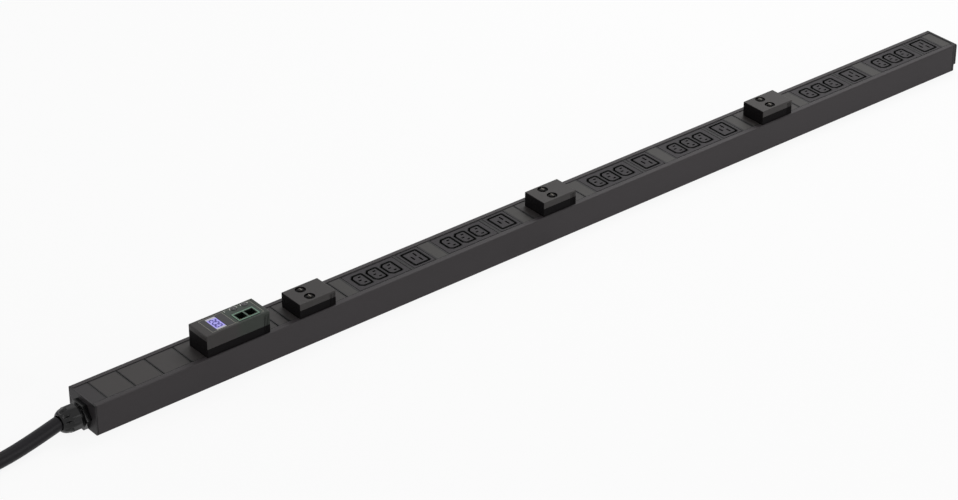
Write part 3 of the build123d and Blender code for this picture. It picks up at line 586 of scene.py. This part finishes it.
def outlet_finish(name, pitch, ring, boss):
    """Grey thermoplastic that lies in shade in the groove round each boss, beside it and at the outer rim."""
    material, point = new_finish(name)
    (low_x, _, _), (high_x, high_y, _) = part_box(name)
    middle = (low_x + high_x) / 2
    off = point.axis("X") - middle
    place_x = off.node("ShaderNodeMath", {"operation": "WRAP"}, {0: off, 1: pitch / 2, 2: -pitch / 2})
    y = point.axis("Y")
    groove = inside_outline(place_x, y, ring, LIP_SHADE) * (1 - inside_outline(place_x, y, boss, -LIP_SHADE))
    rim = (abs(off) > middle - low_x - RIM_SHADE) + (abs(y) > high_y - RIM_SHADE)
    in_bank = abs(off) < pitch * SMALL_COUNT / 2
    sunk = (point.axis("Z") < OUTLET_FACE - GROOVE_SHADE) + groove * in_bank + rim
    flow = point.noise(30, 3, 0.6)
    grain = point.noise(2400, 2, 0.55)
    grey = (flow * 0.6 + grain * 0.4).between(*OUTLET_TONES)
    shade(point, {
        "Base Color": sunk.rise(0, 1).between(grey, SHADE_TONE),
        "Roughness": 0.5 + flow * 0.12,
        "Specular IOR Level": 0.16,
        "Normal": grain.bump(0.00005, 0.6, point.soft_edges(0.0008)),
    })
    dress(material, name)


for bank_name, large_name in zip(BANK_NAMES, LARGE_NAMES):
    outlet_finish(bank_name, SMALL_PITCH, SMALL_RING, SMALL_BOSS)
    outlet_finish(large_name, LARGE_PITCH, LARGE_RING, LARGE_BOSS)


# Module housings: moulded boxes that stand on the near lip and reach through the plates with a neck. A grey
# cover closes on a black tray at a fine parting line, and the end towards the cable is black as well.
PARTING_HEIGHT = 0.0542
PARTING_LINE = 0.0004
WELL_FROM_END = 0.023
WELL_SIDES = (-0.0174, 0.0024)
END_FACE_TILT = -0.6
DISPLAY_FOLD = 0.0668
WELL_SHADE = 0.0073
TINT_RISE = (-0.546, -0.532)
TINT_END = -0.47
TINT_SHARE = 0.6
TINT_TONE = srgb(42, 52, 44)
COVER_TONES = (srgb(44, 42, 42), srgb(58, 55, 54))
TRAY_TONES = (srgb(11, 10, 11), srgb(17, 15, 16))

housings = ["breaker_housing_%d" % n for n in (1, 2, 3)]
housing_plastic, point = new_finish("housing_plastic")
facing = point.node("ShaderNodeNewGeometry", {}, {}, "Normal").axis("X")
height = point.axis("Z")
flow = point.noise(26, 3, 0.6)
grain = point.noise(2100, 2, 0.55)
wells = 0.0
for housing in housings:
    for well_y in WELL_SIDES:
        off_x = point.axis("X") - (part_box(housing)[0][0] + WELL_FROM_END)
        off_y = point.axis("Y") - well_y
        wells = (off_x * off_x + off_y * off_y < WELL_SHADE ** 2) + wells
outer_face = ((facing > END_FACE_TILT) + (height > DISPLAY_FOLD)).rise(0, 1)
cover = (height > PARTING_HEIGHT) * outer_face * (1 - wells)
line = within(height, PARTING_HEIGHT, PARTING_HEIGHT + PARTING_LINE)
tinted = (point.axis("X").rise(*TINT_RISE) * (point.axis("X") < TINT_END)) * TINT_SHARE
grey = tinted.between((flow * 0.6 + grain * 0.4).between(*COVER_TONES), TINT_TONE)
tray = flow.between(*TRAY_TONES)
relief = grain.bump(0.00006, 0.6, point.soft_edges(0.0005))
cover_shader = point.node("ShaderNodeBsdfPrincipled", {}, {
    "Base Color": grey, "Roughness": 0.46 + flow * 0.1, "Specular IOR Level": 0.25, "Normal": relief,
})
tray_shader = point.node("ShaderNodeBsdfPrincipled", {}, {
    "Base Color": tray, "Roughness": 0.6 + flow * 0.1, "Specular IOR Level": 0.05, "Normal": relief,
})
two_parts = point.node("ShaderNodeMixShader", {}, {0: cover * (1 - line), 1: tray_shader, 2: cover_shader})
point.node("ShaderNodeOutputMaterial", {}, {"Surface": two_parts})
dress(housing_plastic, "display_housing", *housings)


# Thermal breakers: black moulded bodies under the wells. A knurled ring nut on the threaded bush of each one
# fills the bottom of its well.
RING_OUTER = 0.0061
RING_INNER = 0.0042
RING_HEIGHT = 0.0016
RING_CHAMFER = 0.0003
RING_NOTCHES = 18
RING_NOTCH_DEPTH = 0.0005
RING_FOOT = 0.00002
RING_STEPS = 144
BREAKER_TOP = 0.061
BREAKER_TONES = (srgb(3, 3, 3), srgb(7, 6, 7))
RING_TONES = (srgb(4, 4, 4), srgb(9, 8, 9))
MERGE_WITHIN = 0.000001
SHARP_ABOVE = math.radians(35)


def moulded(name, tones, rough, grain_depth=0.00005, gloss=0.3):
    """Moulded plastic: fine even grain and very soft flow marks."""
    material, point = new_finish(name)
    flow = point.noise(30, 3, 0.6)
    grain = point.noise(2400, 2, 0.55)
    rounded = point.soft_edges(0.0004)
    shade(point, {
        "Base Color": (flow * 0.6 + grain * 0.4).between(*tones),
        "Roughness": rough + flow * 0.12,
        "Specular IOR Level": gloss,
        "Normal": grain.bump(grain_depth, 0.6, rounded),
    })
    return material


def lathe(name, outline, origin, axis, steps, wave=None):
    """Turned piece: a closed outline of (along, radius) spun round an axis. A wave alters each radius."""
    axis = Vector(axis)
    across = Vector((0, 0, 1)) if abs(axis.z) < 0.5 else Vector((1, 0, 0))
    third = axis.cross(across)
    mesh = bmesh.new()
    rings = []
    for along, radius in outline:
        ring = []
        for step in range(steps):
            angle = 2 * math.pi * step / steps
            reach = wave(along, radius, angle) if wave and radius else radius
            turned = across * math.cos(angle) + third * math.sin(angle)
            ring.append(mesh.verts.new(Vector(origin) + axis * along + turned * reach))
        rings.append(ring)
    for n, ring in enumerate(rings):
        after = rings[(n + 1) % len(rings)]
        for k in range(steps):
            m = (k + 1) % steps
            mesh.faces.new((ring[k], ring[m], after[m], after[k]))
    return finished_piece(name, mesh)


def finished_piece(name, mesh):
    """Object from an edited mesh: doubles merged, faces outwards, soft shading between sharp edges."""
    bmesh.ops.remove_doubles(mesh, verts=mesh.verts, dist=MERGE_WITHIN)
    loose = [edge for edge in mesh.edges if not edge.link_faces]
    bmesh.ops.delete(mesh, geom=loose, context="EDGES")
    bmesh.ops.recalc_face_normals(mesh, faces=mesh.faces)
    data = bpy.data.meshes.new(name)
    mesh.to_mesh(data)
    mesh.free()
    data.shade_smooth()
    data.set_sharp_from_angle(angle=SHARP_ABOVE)
    return place(name, data)


def knurl(along, radius, angle):
    """Small notches in the outer face of a ring nut."""
    notch = max(0.0, math.cos(RING_NOTCHES * angle) - 0.3)
    return radius - notch * RING_NOTCH_DEPTH if radius > (RING_OUTER + RING_INNER) / 2 else radius


breaker_plastic = moulded("breaker_plastic", BREAKER_TONES, 0.5, gloss=0.05)
dress(breaker_plastic, *["breaker_pair_%d" % n for n in (1, 2, 3)])
ring_plastic = moulded("ring_plastic", RING_TONES, 0.34, gloss=0.08)
ring_shoulder = RING_HEIGHT - RING_CHAMFER
ring_outline = (
    (RING_FOOT, RING_INNER), (ring_shoulder, RING_INNER), (RING_HEIGHT, RING_INNER + RING_CHAMFER),
    (RING_HEIGHT, RING_OUTER - RING_CHAMFER), (ring_shoulder, RING_OUTER), (RING_FOOT, RING_OUTER),
)
breaker_number = 0
for housing in housings:
    well_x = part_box(housing)[0][0] + WELL_FROM_END
    for well_y in WELL_SIDES:
        breaker_number += 1
        ring_name = "ring_nut_%d" % breaker_number
        ring_nut = lathe(ring_name, ring_outline, (well_x, well_y, BREAKER_TOP), (0, 0, 1), RING_STEPS, knurl)
        dress(ring_plastic, ring_nut)
        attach(ring_nut, "unit")


# Breaker buttons: grey moulded pins, domed, with a bar across the face for a screwdriver. A tripped breaker
# lifts its button.
BUTTON_TOP = 0.0644
BAR_HALF = (0.0026, 0.0006)
BAR_RISE = 0.0007
BAR_SLOPE = 0.0002
BUTTON_TONES = (srgb(20, 19, 18), srgb(30, 28, 27))
# The pale colour of the bar across each button is a painted highlight.
BAR_HIGHLIGHT_TONES = (srgb(112, 108, 100), srgb(140, 134, 124))

button_plastic = moulded("button_plastic", BUTTON_TONES, 0.34, gloss=0.14)
bar_highlight_plastic = moulded("bar_highlight_plastic", BAR_HIGHLIGHT_TONES, 0.4, gloss=0.4)


def button_bar(name, x, y):
    """Raised bar across the button, its top edges sloped."""
    mesh = bmesh.new()
    corners = []
    low, mid, high = BUTTON_TOP - BAR_SLOPE, BUTTON_TOP + BAR_RISE * 0.7, BUTTON_TOP + BAR_RISE
    for z, inset in ((low, 0.0), (mid, 0.0), (high, BAR_SLOPE)):
        half_x, half_y = BAR_HALF[1] - inset, BAR_HALF[0] - inset
        ring = [(-half_x, -half_y), (half_x, -half_y), (half_x, half_y), (-half_x, half_y)]
        corners.append([mesh.verts.new((x + dx, y + dy, z)) for dx, dy in ring])
    mesh.faces.new(corners[0])
    mesh.faces.new(corners[-1])
    for below, above in zip(corners, corners[1:]):
        for k in range(4):
            mesh.faces.new((below[k], below[(k + 1) % 4], above[(k + 1) % 4], above[k]))
    return finished_piece(name, mesh)


for number in range(1, 7):
    button = "breaker_button_%d" % number
    low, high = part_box(button)
    bar = button_bar("button_bar_%d" % number, (low[0] + high[0]) / 2, (low[1] + high[1]) / 2)
    dress(button_plastic, button)
    dress(bar_highlight_plastic, bar)
    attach(bar, button + "_body")


# Display label: a printed film in the recess of the display housing, with a light hairline round it and one
# across it between the screen and the network jack.
LABEL_X = (-0.5774, -0.4968)
LABEL_Y = (-0.0249, 0.0093)
HAIRLINE = 0.0006
HAIRLINE_INSET = 0.0011
DIVIDER_X = -0.5415
# Pale half rings round the far side of each key: painted highlights.
HIGHLIGHT_ARC_SPAN = (0.0048, 0.0060)
HIGHLIGHT_ARC_SETBACK = 0.0008
HIGHLIGHT_ARC_OPEN = 0.0004
TICK = (-0.5382, 0.0084)
TICK_LONG = 0.0036
TICK_WIDTH = 0.0006
PANEL_TONES = (srgb(39, 38, 40), srgb(32, 44, 36))
HAIRLINE_TONE = srgb(132, 130, 118)
PRINT_AND_HIGHLIGHT_TONE = srgb(206, 206, 200)

label_film, point = new_finish("label_film")
x, y = point.axis("X"), point.axis("Y")


def inset_box(inset):
    """1 inside the label's outline drawn in by this much."""
    inside_x = within(x, LABEL_X[0] + inset, LABEL_X[1] - inset)
    return inside_x * within(y, LABEL_Y[0] + inset, LABEL_Y[1] - inset)


border = inset_box(HAIRLINE_INSET) - inset_box(HAIRLINE_INSET + HAIRLINE)
divider = within(x, DIVIDER_X, DIVIDER_X + HAIRLINE) * inset_box(HAIRLINE_INSET)
jack_half = x.rise(DIVIDER_X, DIVIDER_X + HAIRLINE)
printed_and_highlit = within(x, TICK[0], TICK[0] + TICK_WIDTH) * within(y, TICK[1] - TICK_LONG, TICK[1])
printed_and_highlit = within(x, TICK[0], TICK[0] + TICK_LONG) * within(y, TICK[1] - TICK_WIDTH, TICK[1]) + printed_and_highlit
# The tick is printed; the pale half rings on the far side of the keys are painted highlights.
for key_name in ("menu_key", "reset_key"):
    low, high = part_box(key_name)
    away_x, away_y = x - (low[0] + high[0]) / 2, y - (low[1] + high[1]) / 2 + HIGHLIGHT_ARC_SETBACK
    spread = away_x * away_x + away_y * away_y
    printed_and_highlit = within(spread, HIGHLIGHT_ARC_SPAN[0] ** 2, HIGHLIGHT_ARC_SPAN[1] ** 2) * (away_y > HIGHLIGHT_ARC_OPEN) + printed_and_highlit
speckle = point.noise(1800, 2, 0.5)
ruled = (border + divider).rise(0, 1).between(jack_half.between(*PANEL_TONES), HAIRLINE_TONE)
shade(point, {
    "Base Color": printed_and_highlit.rise(0, 1).between(ruled, PRINT_AND_HIGHLIGHT_TONE),
    "Roughness": 0.36 + speckle * 0.2,
    "Specular IOR Level": 0.35,
    "Normal": speckle.bump(0.00003, 0.5),
})
dress(label_film, "display_label")


# Screen: a backlit window with a pale lavender glow, and a painted glare that makes its two ends paler.
# Behind the glass lie three seven segment numerals and a point.
SCREEN_X = (-0.5676, -0.5530)
SCREEN_Y = (-0.0215, 0.0069)
GLASS_TOP = 0.0734
GLASS_EDGE = 0.0004
GLARE_ENDS = (0.0034, 0.0038)
LAVENDER = (srgb(150, 140, 232), srgb(178, 170, 248))
GLARE_TONE = srgb(176, 176, 182)
GLASS_TONES = (srgb(60, 58, 80), srgb(26, 26, 28))
INK_TONES = (srgb(24, 18, 96), srgb(40, 32, 128))
INK_GLOW = srgb(52, 38, 160)
NO_GLOW = srgb(0, 0, 0)
DIGITS = "20.0"
DIGIT_HEIGHT = 0.0088
DIGIT_WIDTH = 0.0046
DIGIT_PITCH = 0.0068
STROKE = 0.0018
STROKE_GAP = 0.00018
STROKE_RISE = 0.00006
SEGMENTS = {"0": "abcdef", "2": "abdeg"}
STROKES = {
    "a": ((0, 1), (1, 1)), "b": ((1, 1), (1, 0.5)), "c": ((1, 0.5), (1, 0)), "d": ((0, 0), (1, 0)),
    "e": ((0, 0.5), (0, 0)), "f": ((0, 1), (0, 0.5)), "g": ((0, 0.5), (1, 0.5)),
}

backlight, point = new_finish("backlight")
y = point.axis("Y")
frame_part = point.axis("Z") < GLASS_TOP - GLASS_EDGE
# Painted glare: the two ends of the window glow paler grey.
ends = 1 - within(y, SCREEN_Y[0] + GLARE_ENDS[0], SCREEN_Y[1] - GLARE_ENDS[1])
glow = point.noise(90, 2, 0.5)
face = ends.between(glow.between(*LAVENDER), GLARE_TONE)
shade(point, {
    "Base Color": frame_part.between(*GLASS_TONES),
    "Roughness": 0.16 + glow * 0.06,
    "Emission Color": frame_part.between(face, NO_GLOW),
    "Emission Strength": 0.85,
})
dress(backlight, "display_screen")


def add_stroke(mesh, start, end, z):
    """Six sided bar between two points of a seven segment numeral."""
    start, end = Vector((*start, 0)), Vector((*end, 0))
    ahead = (end - start).normalized()
    side = Vector((-ahead.y, ahead.x, 0)) * STROKE / 2
    start, end = start + ahead * STROKE_GAP, end - ahead * STROKE_GAP
    tip = ahead * STROKE / 2
    ring = (start, start + tip + side, end - tip + side, end, end - tip - side, start + tip - side)
    below = [mesh.verts.new((p.x, p.y, z)) for p in ring]
    above = [mesh.verts.new((p.x, p.y, z + STROKE_RISE)) for p in ring]
    mesh.faces.new(below)
    mesh.faces.new(above)
    for k in range(6):
        mesh.faces.new((below[k], below[(k + 1) % 6], above[(k + 1) % 6], above[k]))


digits_mesh = bmesh.new()
middle_x = (SCREEN_X[0] + SCREEN_X[1]) / 2
shown = [sign for sign in DIGITS if sign != "."]
start_y = (SCREEN_Y[0] + SCREEN_Y[1]) / 2 + (len(shown) - 1) * DIGIT_PITCH / 2 + DIGIT_WIDTH / 2
cursor = start_y
for sign in DIGITS:
    if sign == ".":
        point_y = cursor + (DIGIT_PITCH - DIGIT_WIDTH) / 2
        low_x = middle_x - DIGIT_HEIGHT / 2
        add_stroke(digits_mesh, (low_x - STROKE / 2, point_y), (low_x + STROKE, point_y), GLASS_TOP)
        continue
    for segment in SEGMENTS[sign]:
        ends_at = []
        for across_share, up_share in STROKES[segment]:
            ends_at.append((middle_x + (up_share - 0.5) * DIGIT_HEIGHT, cursor - across_share * DIGIT_WIDTH))
        add_stroke(digits_mesh, *ends_at, GLASS_TOP)
    cursor -= DIGIT_PITCH
screen_digits = finished_piece("screen_digits", digits_mesh)
digit_ink, point = new_finish("digit_ink")
shade(point, {
    "Base Color": point.noise(400, 2).between(*INK_TONES),
    "Roughness": 0.3,
    "Emission Color": INK_GLOW,
    "Emission Strength": 0.16,
})
dress(digit_ink, screen_digits)
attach(screen_digits, "unit")


# Network jack: a double socket of dark moulded plastic with a pale green frame. Eight gilt contact springs
# slope up in each port, and a small green window lies between the ports.
JACK_X = (-0.5360, -0.5030)
JACK_Y = (-0.0237, -0.0047)
JACK_TOP = 0.0744
PORTS_X = ((-0.5329, -0.5207), (-0.5183, -0.5061))
PORTS_Y = (-0.0205, -0.0079)
FRAME_WIDTH = 0.0021
FRAME_DARK = 0.0005
CONTACT_COUNT = 8
CONTACT_PITCH = 0.00102
CONTACT_WIDTH = 0.00045
SPRING_ROUTE = (
    (PORTS_Y[1] - 0.0002, 0.0664), (PORTS_Y[1] - 0.0012, 0.0668), (PORTS_Y[0] + 0.0040, 0.0622),
)
SPRING_THICKNESS = 0.00025
WINDOW_MARGIN = 0.0004
WINDOW_SHARE = 0.45
FRAME_DEPTH = 0.0015
JACK_TONES = (srgb(6, 12, 9), srgb(10, 24, 16))
FRAME_TONE = srgb(104, 142, 118)
GILT_TONES = (srgb(96, 72, 34), srgb(128, 100, 52))

jack_plastic, point = new_finish("jack_plastic")
x, y, z = point.axis("X"), point.axis("Y"), point.axis("Z")
inner_x = within(x, JACK_X[0] + FRAME_WIDTH, JACK_X[1] - FRAME_WIDTH)
inner_y = within(y, JACK_Y[0] + FRAME_WIDTH, JACK_Y[1] - FRAME_WIDTH)
outer_x = within(x, JACK_X[0] + FRAME_DARK, JACK_X[1] - FRAME_DARK)
outer_y = within(y, JACK_Y[0] + FRAME_DARK, JACK_Y[1] - FRAME_DARK)
window = within(x, PORTS_X[0][1] + WINDOW_MARGIN, PORTS_X[1][0] - WINDOW_MARGIN) * WINDOW_SHARE
rim = ((1 - inner_x * inner_y) * outer_x * outer_y + window) * (z > JACK_TOP - FRAME_DEPTH)
cloud = point.noise(220, 3, 0.6)
shade(point, {
    "Base Color": rim.between(cloud.between(*JACK_TONES), FRAME_TONE),
    "Roughness": 0.34 + cloud * 0.1,
    "Specular IOR Level": 0.4,
    "Normal": cloud.bump(0.00004, 0.5, point.soft_edges(0.0003)),
})
dress(jack_plastic, "network_jack")

gilt, point = new_finish("gilt")
wear = point.noise(900, 3, 0.6)
shade(point, {
    "Base Color": wear.between(*GILT_TONES),
    "Roughness": 0.4 + wear * 0.16,
    "Metallic": 1.0,
})
for number, (x0, x1) in enumerate(PORTS_X, start=1):
    springs = bmesh.new()
    first = (x0 + x1) / 2 - (CONTACT_COUNT - 1) * CONTACT_PITCH / 2
    for n in range(CONTACT_COUNT):
        left = first + n * CONTACT_PITCH - CONTACT_WIDTH / 2
        right = left + CONTACT_WIDTH
        top, low = (
            [[springs.verts.new((side, y, z - down)) for side in (left, right)] for y, z in SPRING_ROUTE]
            for down in (0, SPRING_THICKNESS)
        )
        for k in range(len(SPRING_ROUTE) - 1):
            springs.faces.new((top[k][0], top[k][1], top[k + 1][1], top[k + 1][0]))
            springs.faces.new((low[k][0], low[k][1], low[k + 1][1], low[k + 1][0]))
            springs.faces.new((top[k][0], low[k][0], low[k + 1][0], top[k + 1][0]))
            springs.faces.new((top[k][1], low[k][1], low[k + 1][1], top[k + 1][1]))
        springs.faces.new((top[0][0], top[0][1], low[0][1], low[0][0]))
        springs.faces.new((top[-1][0], top[-1][1], low[-1][1], low[-1][0]))
    contacts = finished_piece("port_contacts_%d" % number, springs)
    dress(gilt, contacts)
    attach(contacts, "unit")


# Keys: two round moulded caps beside the jack, each pressed against a switch on the board below. A short bar
# is printed on the cap, and a grey arc on its far side is a painted highlight.
KEY_HIGHLIGHT_SPAN = (0.0031, 0.0043)
KEY_HIGHLIGHT_START = 0.0016
KEY_BAR_X = (-0.0004, 0.0004)
KEY_BAR_Y = (-0.0018, 0.0006)
KEY_TONES = (srgb(44, 44, 46), srgb(56, 56, 58))
KEY_PRINT_AND_HIGHLIGHT = srgb(120, 120, 118)

for key_name in ("menu_key", "reset_key"):
    low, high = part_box(key_name)
    key_x, key_y = (low[0] + high[0]) / 2, (low[1] + high[1]) / 2
    key_plastic, point = new_finish(key_name + "_plastic")
    away_x, away_y = point.axis("X") - key_x, point.axis("Y") - key_y
    spread = away_x * away_x + away_y * away_y
    highlight_arc = within(spread, KEY_HIGHLIGHT_SPAN[0] ** 2, KEY_HIGHLIGHT_SPAN[1] ** 2) * (away_y > KEY_HIGHLIGHT_START)
    short_bar = within(away_x, *KEY_BAR_X) * within(away_y, *KEY_BAR_Y)
    grain = point.noise(1500, 2)
    shade(point, {
        "Base Color": (highlight_arc + short_bar).rise(0, 1).between(grain.between(*KEY_TONES), KEY_PRINT_AND_HIGHLIGHT),
        "Roughness": 0.4 + grain * 0.1,
        "Specular IOR Level": 0.35,
        "Normal": grain.bump(0.00004, 0.5, point.soft_edges(0.0004)),
    })
    dress(key_plastic, key_name)


# Cable gland: black nylon. A hexagon and a threaded body sit in the end plate, and a domed cap nut with flats
# squeezes a rubber sleeve on the cord.
GLAND_AXIS = (-0.755, 0.0, 0.0185)
NUT_START = -0.011
NUT_LENGTH = 0.024
NUT_DOME = 0.012
NUT_INSCRIBED = 0.0167
NUT_ROUNDED = 0.0175
NUT_FLATS = 10
NUT_MOUTH = 0.0100
NUT_BORE = 0.0138
NUT_EDGE = 0.0006
NUT_STEPS = 160
NOTCH_DEPTH = 0.0022
NOTCH_FROM = 0.0125
DOME_LINE = (
    (NUT_DOME + 0.0002, NUT_INSCRIBED), (NUT_DOME - 0.0012, NUT_INSCRIBED - 0.0004), (0.0084, 0.0159),
    (0.0060, 0.0152), (0.0038, 0.0143), (0.0018, 0.0131), (0.0005, 0.0117), (0.0001, 0.0108),
    (0.0004, NUT_MOUTH), (0.0060, NUT_MOUTH), (0.0070, NUT_BORE),
)
NYLON_TONES = (srgb(4, 4, 5), srgb(8, 8, 9))
RUBBER_TONES = (srgb(16, 16, 17), srgb(24, 24, 25))


def off_flat(angle, count):
    """Angle away from the middle of the nearest of the flats round a nut."""
    sector = 2 * math.pi / count
    return (angle + sector / 2) % sector - sector / 2


def nut_flats(along, radius, angle):
    """Flats with rounded corners on the grip, and a notch between each two ribs of the dome."""
    if radius < NUT_BORE + 0.0002:
        return radius
    if along > nut_end + NUT_DOME - 0.0001:
        flat = min(NUT_INSCRIBED / math.cos(off_flat(angle, NUT_FLATS)), NUT_ROUNDED)
        return min(flat, radius * flat / NUT_INSCRIBED)
    groove = max(0.0, math.cos(NUT_FLATS * angle) - 0.1)
    return radius - NOTCH_DEPTH * groove * (radius > NOTCH_FROM)


nut_end = NUT_START - NUT_LENGTH
nut_outline = [
    (NUT_START, NUT_BORE), (NUT_START, NUT_INSCRIBED - NUT_EDGE), (NUT_START - NUT_EDGE, NUT_INSCRIBED),
    *((nut_end + off, radius) for off, radius in DOME_LINE),
]
gland_nylon = moulded("gland_nylon", NYLON_TONES, 0.16, 0.00003)
cap_nut = lathe("ribbed_cap_nut", nut_outline, GLAND_AXIS, (1, 0, 0), NUT_STEPS, nut_flats)
dress(gland_nylon, cap_nut, "gland_body", "gland_cap_nut", "gland_locknut")
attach(cap_nut, "unit")
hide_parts("gland_cap_nut")
dress(moulded("sleeve_rubber", RUBBER_TONES, 0.7), "gland_seal")


# Mains plug: an industrial pin and sleeve plug with a black cord clamp, a blue housing and three nickel
# plated pins inside its sleeve. It lies on the coil, out of the camera's view.
PLUG_START = -0.894
PLUG_AXIS = (0.0, 0.196, 0.0288)
PLUG_PARTS = {"neck": (0.013, 0.016), "grip": (0.024, 0.046), "sleeve": (0.028, 0.048)}
PIN_REACH = 0.0145
PIN_START = 0.0031
BLUE_LAP = 0.0002
RIB_COUNT = 24
RIB_RISE = 0.0009
RIB_STEPS = 192
CLAMP_FLATS = 8
CLAMP_CORNER = 1.05
CLAMP_STEPS = 128
COLLAR_STEPS = 96
BLACK_TONE = srgb(22, 22, 24)
BLUE_TONES = (srgb(22, 62, 118), srgb(34, 78, 138))
NICKEL_TONE = srgb(186, 184, 176)

plug_finish, point = new_finish("plug_finish")
along = point.axis("X")
off_y, off_z = point.axis("Y") - PLUG_AXIS[1], point.axis("Z") - PLUG_AXIS[2]
spread = off_y * off_y + off_z * off_z
grip_start = PLUG_START + PLUG_PARTS["neck"][1]
sleeve_start = grip_start + PLUG_PARTS["grip"][1]
blue_part = along > grip_start - BLUE_LAP
pins = (along > sleeve_start + PIN_START) * (spread < PIN_REACH * PIN_REACH)
grain = point.noise(1700, 2, 0.5)
scuff = point.noise(38, 5, 0.7)
body_colour = blue_part.between(BLACK_TONE, scuff.between(*BLUE_TONES))
shade(point, {
    "Base Color": pins.between(body_colour, NICKEL_TONE),
    "Metallic": pins,
    "Roughness": 0.42 - pins * 0.18 + scuff * 0.12,
    "Specular IOR Level": 0.4,
    "Normal": grain.bump(0.00006, 0.6, point.soft_edges(0.0006)),
})
dress(plug_finish, "mains_plug")


def grip_rib(along, radius, angle):
    """Ribs along the grip, so that a hand can pull the plug."""
    swell = max(0.0, math.cos(RIB_COUNT * angle))
    return radius + RIB_RISE * swell if radius > PLUG_PARTS["grip"][0] + 0.0001 else radius


grip_radius, grip_length = PLUG_PARTS["grip"]
rib_outline = [
    (0.006, grip_radius - 0.0006), (0.006, grip_radius + 0.00005), (0.008, grip_radius + 0.0006),
    (grip_length - 0.010, grip_radius + 0.0006), (grip_length - 0.008, grip_radius + 0.00005),
    (grip_length - 0.008, grip_radius - 0.0006),
]
plug_ribs = lathe("plug_ribs", rib_outline, (grip_start, *PLUG_AXIS[1:]), (1, 0, 0), RIB_STEPS, grip_rib)
neck_radius, neck_length = PLUG_PARTS["neck"]
clamp_outline = [
    (0.001, neck_radius - 0.001), (0.001, neck_radius + 0.0008), (0.003, neck_radius + 0.0034),
    (neck_length - 0.001, neck_radius + 0.0052), (neck_length + 0.0004, neck_radius + 0.0052),
    (neck_length + 0.0004, neck_radius - 0.001),
]


def clamp_flats(along, radius, angle):
    """Eight flats on the cord clamp."""
    corner = min(1.0 / math.cos(off_flat(angle, CLAMP_FLATS)), CLAMP_CORNER)
    return radius * corner / CLAMP_CORNER if radius > neck_radius else radius


clamp_origin = (PLUG_START, *PLUG_AXIS[1:])
plug_clamp = lathe("plug_clamp", clamp_outline, clamp_origin, (1, 0, 0), CLAMP_STEPS, clamp_flats)
rim_radius = PLUG_PARTS["sleeve"][0]
collar_outline = [
    (0.0004, rim_radius - 0.0030), (0.0004, rim_radius - 0.0002), (0.0024, rim_radius + 0.0005),
    (0.0050, rim_radius + 0.0005), (0.0064, rim_radius - 0.0002), (0.0064, rim_radius - 0.0030),
]
collar_origin = (sleeve_start - BLUE_LAP, *PLUG_AXIS[1:])
plug_collar = lathe("plug_collar", collar_outline, collar_origin, (1, 0, 0), COLLAR_STEPS)
dress(plug_finish, plug_ribs, plug_clamp, plug_collar)
for piece in (plug_ribs, plug_clamp, plug_collar):
    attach(piece, "unit")
on_the_cord = [nodes[name] for name in ("mains_plug", "gland_body", "gland_locknut", "gland_seal")]
on_the_cord += [cap_nut, plug_ribs, plug_clamp, plug_collar, *coil_ties]


# Far end cap: one moulding that closes the far end of the channel, in a black plastic with the grain of the
# mould, held by two countersunk screws.
CAP_TONES = (srgb(26, 25, 27), srgb(38, 36, 38))

dress(moulded("cap_plastic", CAP_TONES, 0.52), "far_end_cap")


# Fixings: countersunk black oxide screws at both ends, and press nuts of zinc plated steel in the back.
OXIDE_TONES = (srgb(30, 30, 32), srgb(58, 58, 60))
ZINC_TONES = (srgb(150, 152, 156), srgb(188, 190, 194))


def plated(name, tones, rough, grain_scale=700):
    """Plated or oxidised steel: faint turning marks and small stains."""
    material, point = new_finish(name)
    stains = point.noise(120, 5, 0.7)
    marks = point.noise(grain_scale, 2, 0.6)
    shade(point, {
        "Base Color": (stains * 0.7 + marks * 0.3).between(*tones),
        "Roughness": rough + stains * 0.2,
        "Metallic": 1.0,
        "Normal": marks.bump(0.00004, 0.5, point.soft_edges(0.0002)),
    })
    return material


dress(plated("black_oxide", OXIDE_TONES, 0.34), "end_screws")
dress(plated("zinc_plate", ZINC_TONES, 0.26), "mounting_nuts")


# Contact bars: half hard brass strip, blanked and folded, with two leaves for each pin. They stand under the
# outlets, one bar for each group on the line side and one for all on the neutral and earth sides.
BRASS_TONES = (srgb(160, 124, 58), srgb(206, 168, 92))

dress(plated("contact_brass", BRASS_TONES, 0.28, 500), "line_bars", "neutral_bar", "earth_bar")


# Supply wires: stranded copper in smooth coloured covers, brown for line, blue for neutral, and green for
# earth with a yellow stripe.
BLUE_ROW = (0.0156, 0.0222)
STRIPE_SPAN = (0.0114, 0.0136)
WIRE_HEIGHT = 0.0042
EARTH_TONES = (srgb(30, 112, 58), srgb(204, 186, 52))
NEUTRAL_TONE = srgb(42, 78, 150)
LINE_TONE = srgb(98, 60, 38)

wire_cover, point = new_finish("wire_cover")
y, z = point.axis("Y"), point.axis("Z")
brown_row = y > BLUE_ROW[1]
blue_row = within(y, *BLUE_ROW)
stripe = within(y - (z - WIRE_HEIGHT), *STRIPE_SPAN)
soft = point.noise(240, 3, 0.5)
colder = blue_row.between(stripe.between(*EARTH_TONES), NEUTRAL_TONE)
shade(point, {
    "Base Color": brown_row.between(colder, LINE_TONE),
    "Roughness": 0.36 + soft * 0.12,
    "Specular IOR Level": 0.4,
    "Normal": soft.bump(0.00005, 0.4),
})
dress(wire_cover, "supply_wires")


# Control board: green glass fibre with a lighter trace pattern under the lacquer, across the display module
# below the top.
board, point = new_finish("board")
fibres = point.noise(1500, 2, 0.6)
lanes = (point.axis("Y") * 620 + point.noise(60, 2) * 1.4).wave()
shade(point, {
    "Base Color": lanes.rise(0.2, 0.5).between(srgb(18, 70, 44), srgb(28, 94, 58)),
    "Roughness": 0.3 + fibres * 0.2,
    "Specular IOR Level": 0.5,
    "Normal": fibres.bump(0.00003, 0.4),
})
dress(board, "control_board")


bpy.context.view_layer.update()
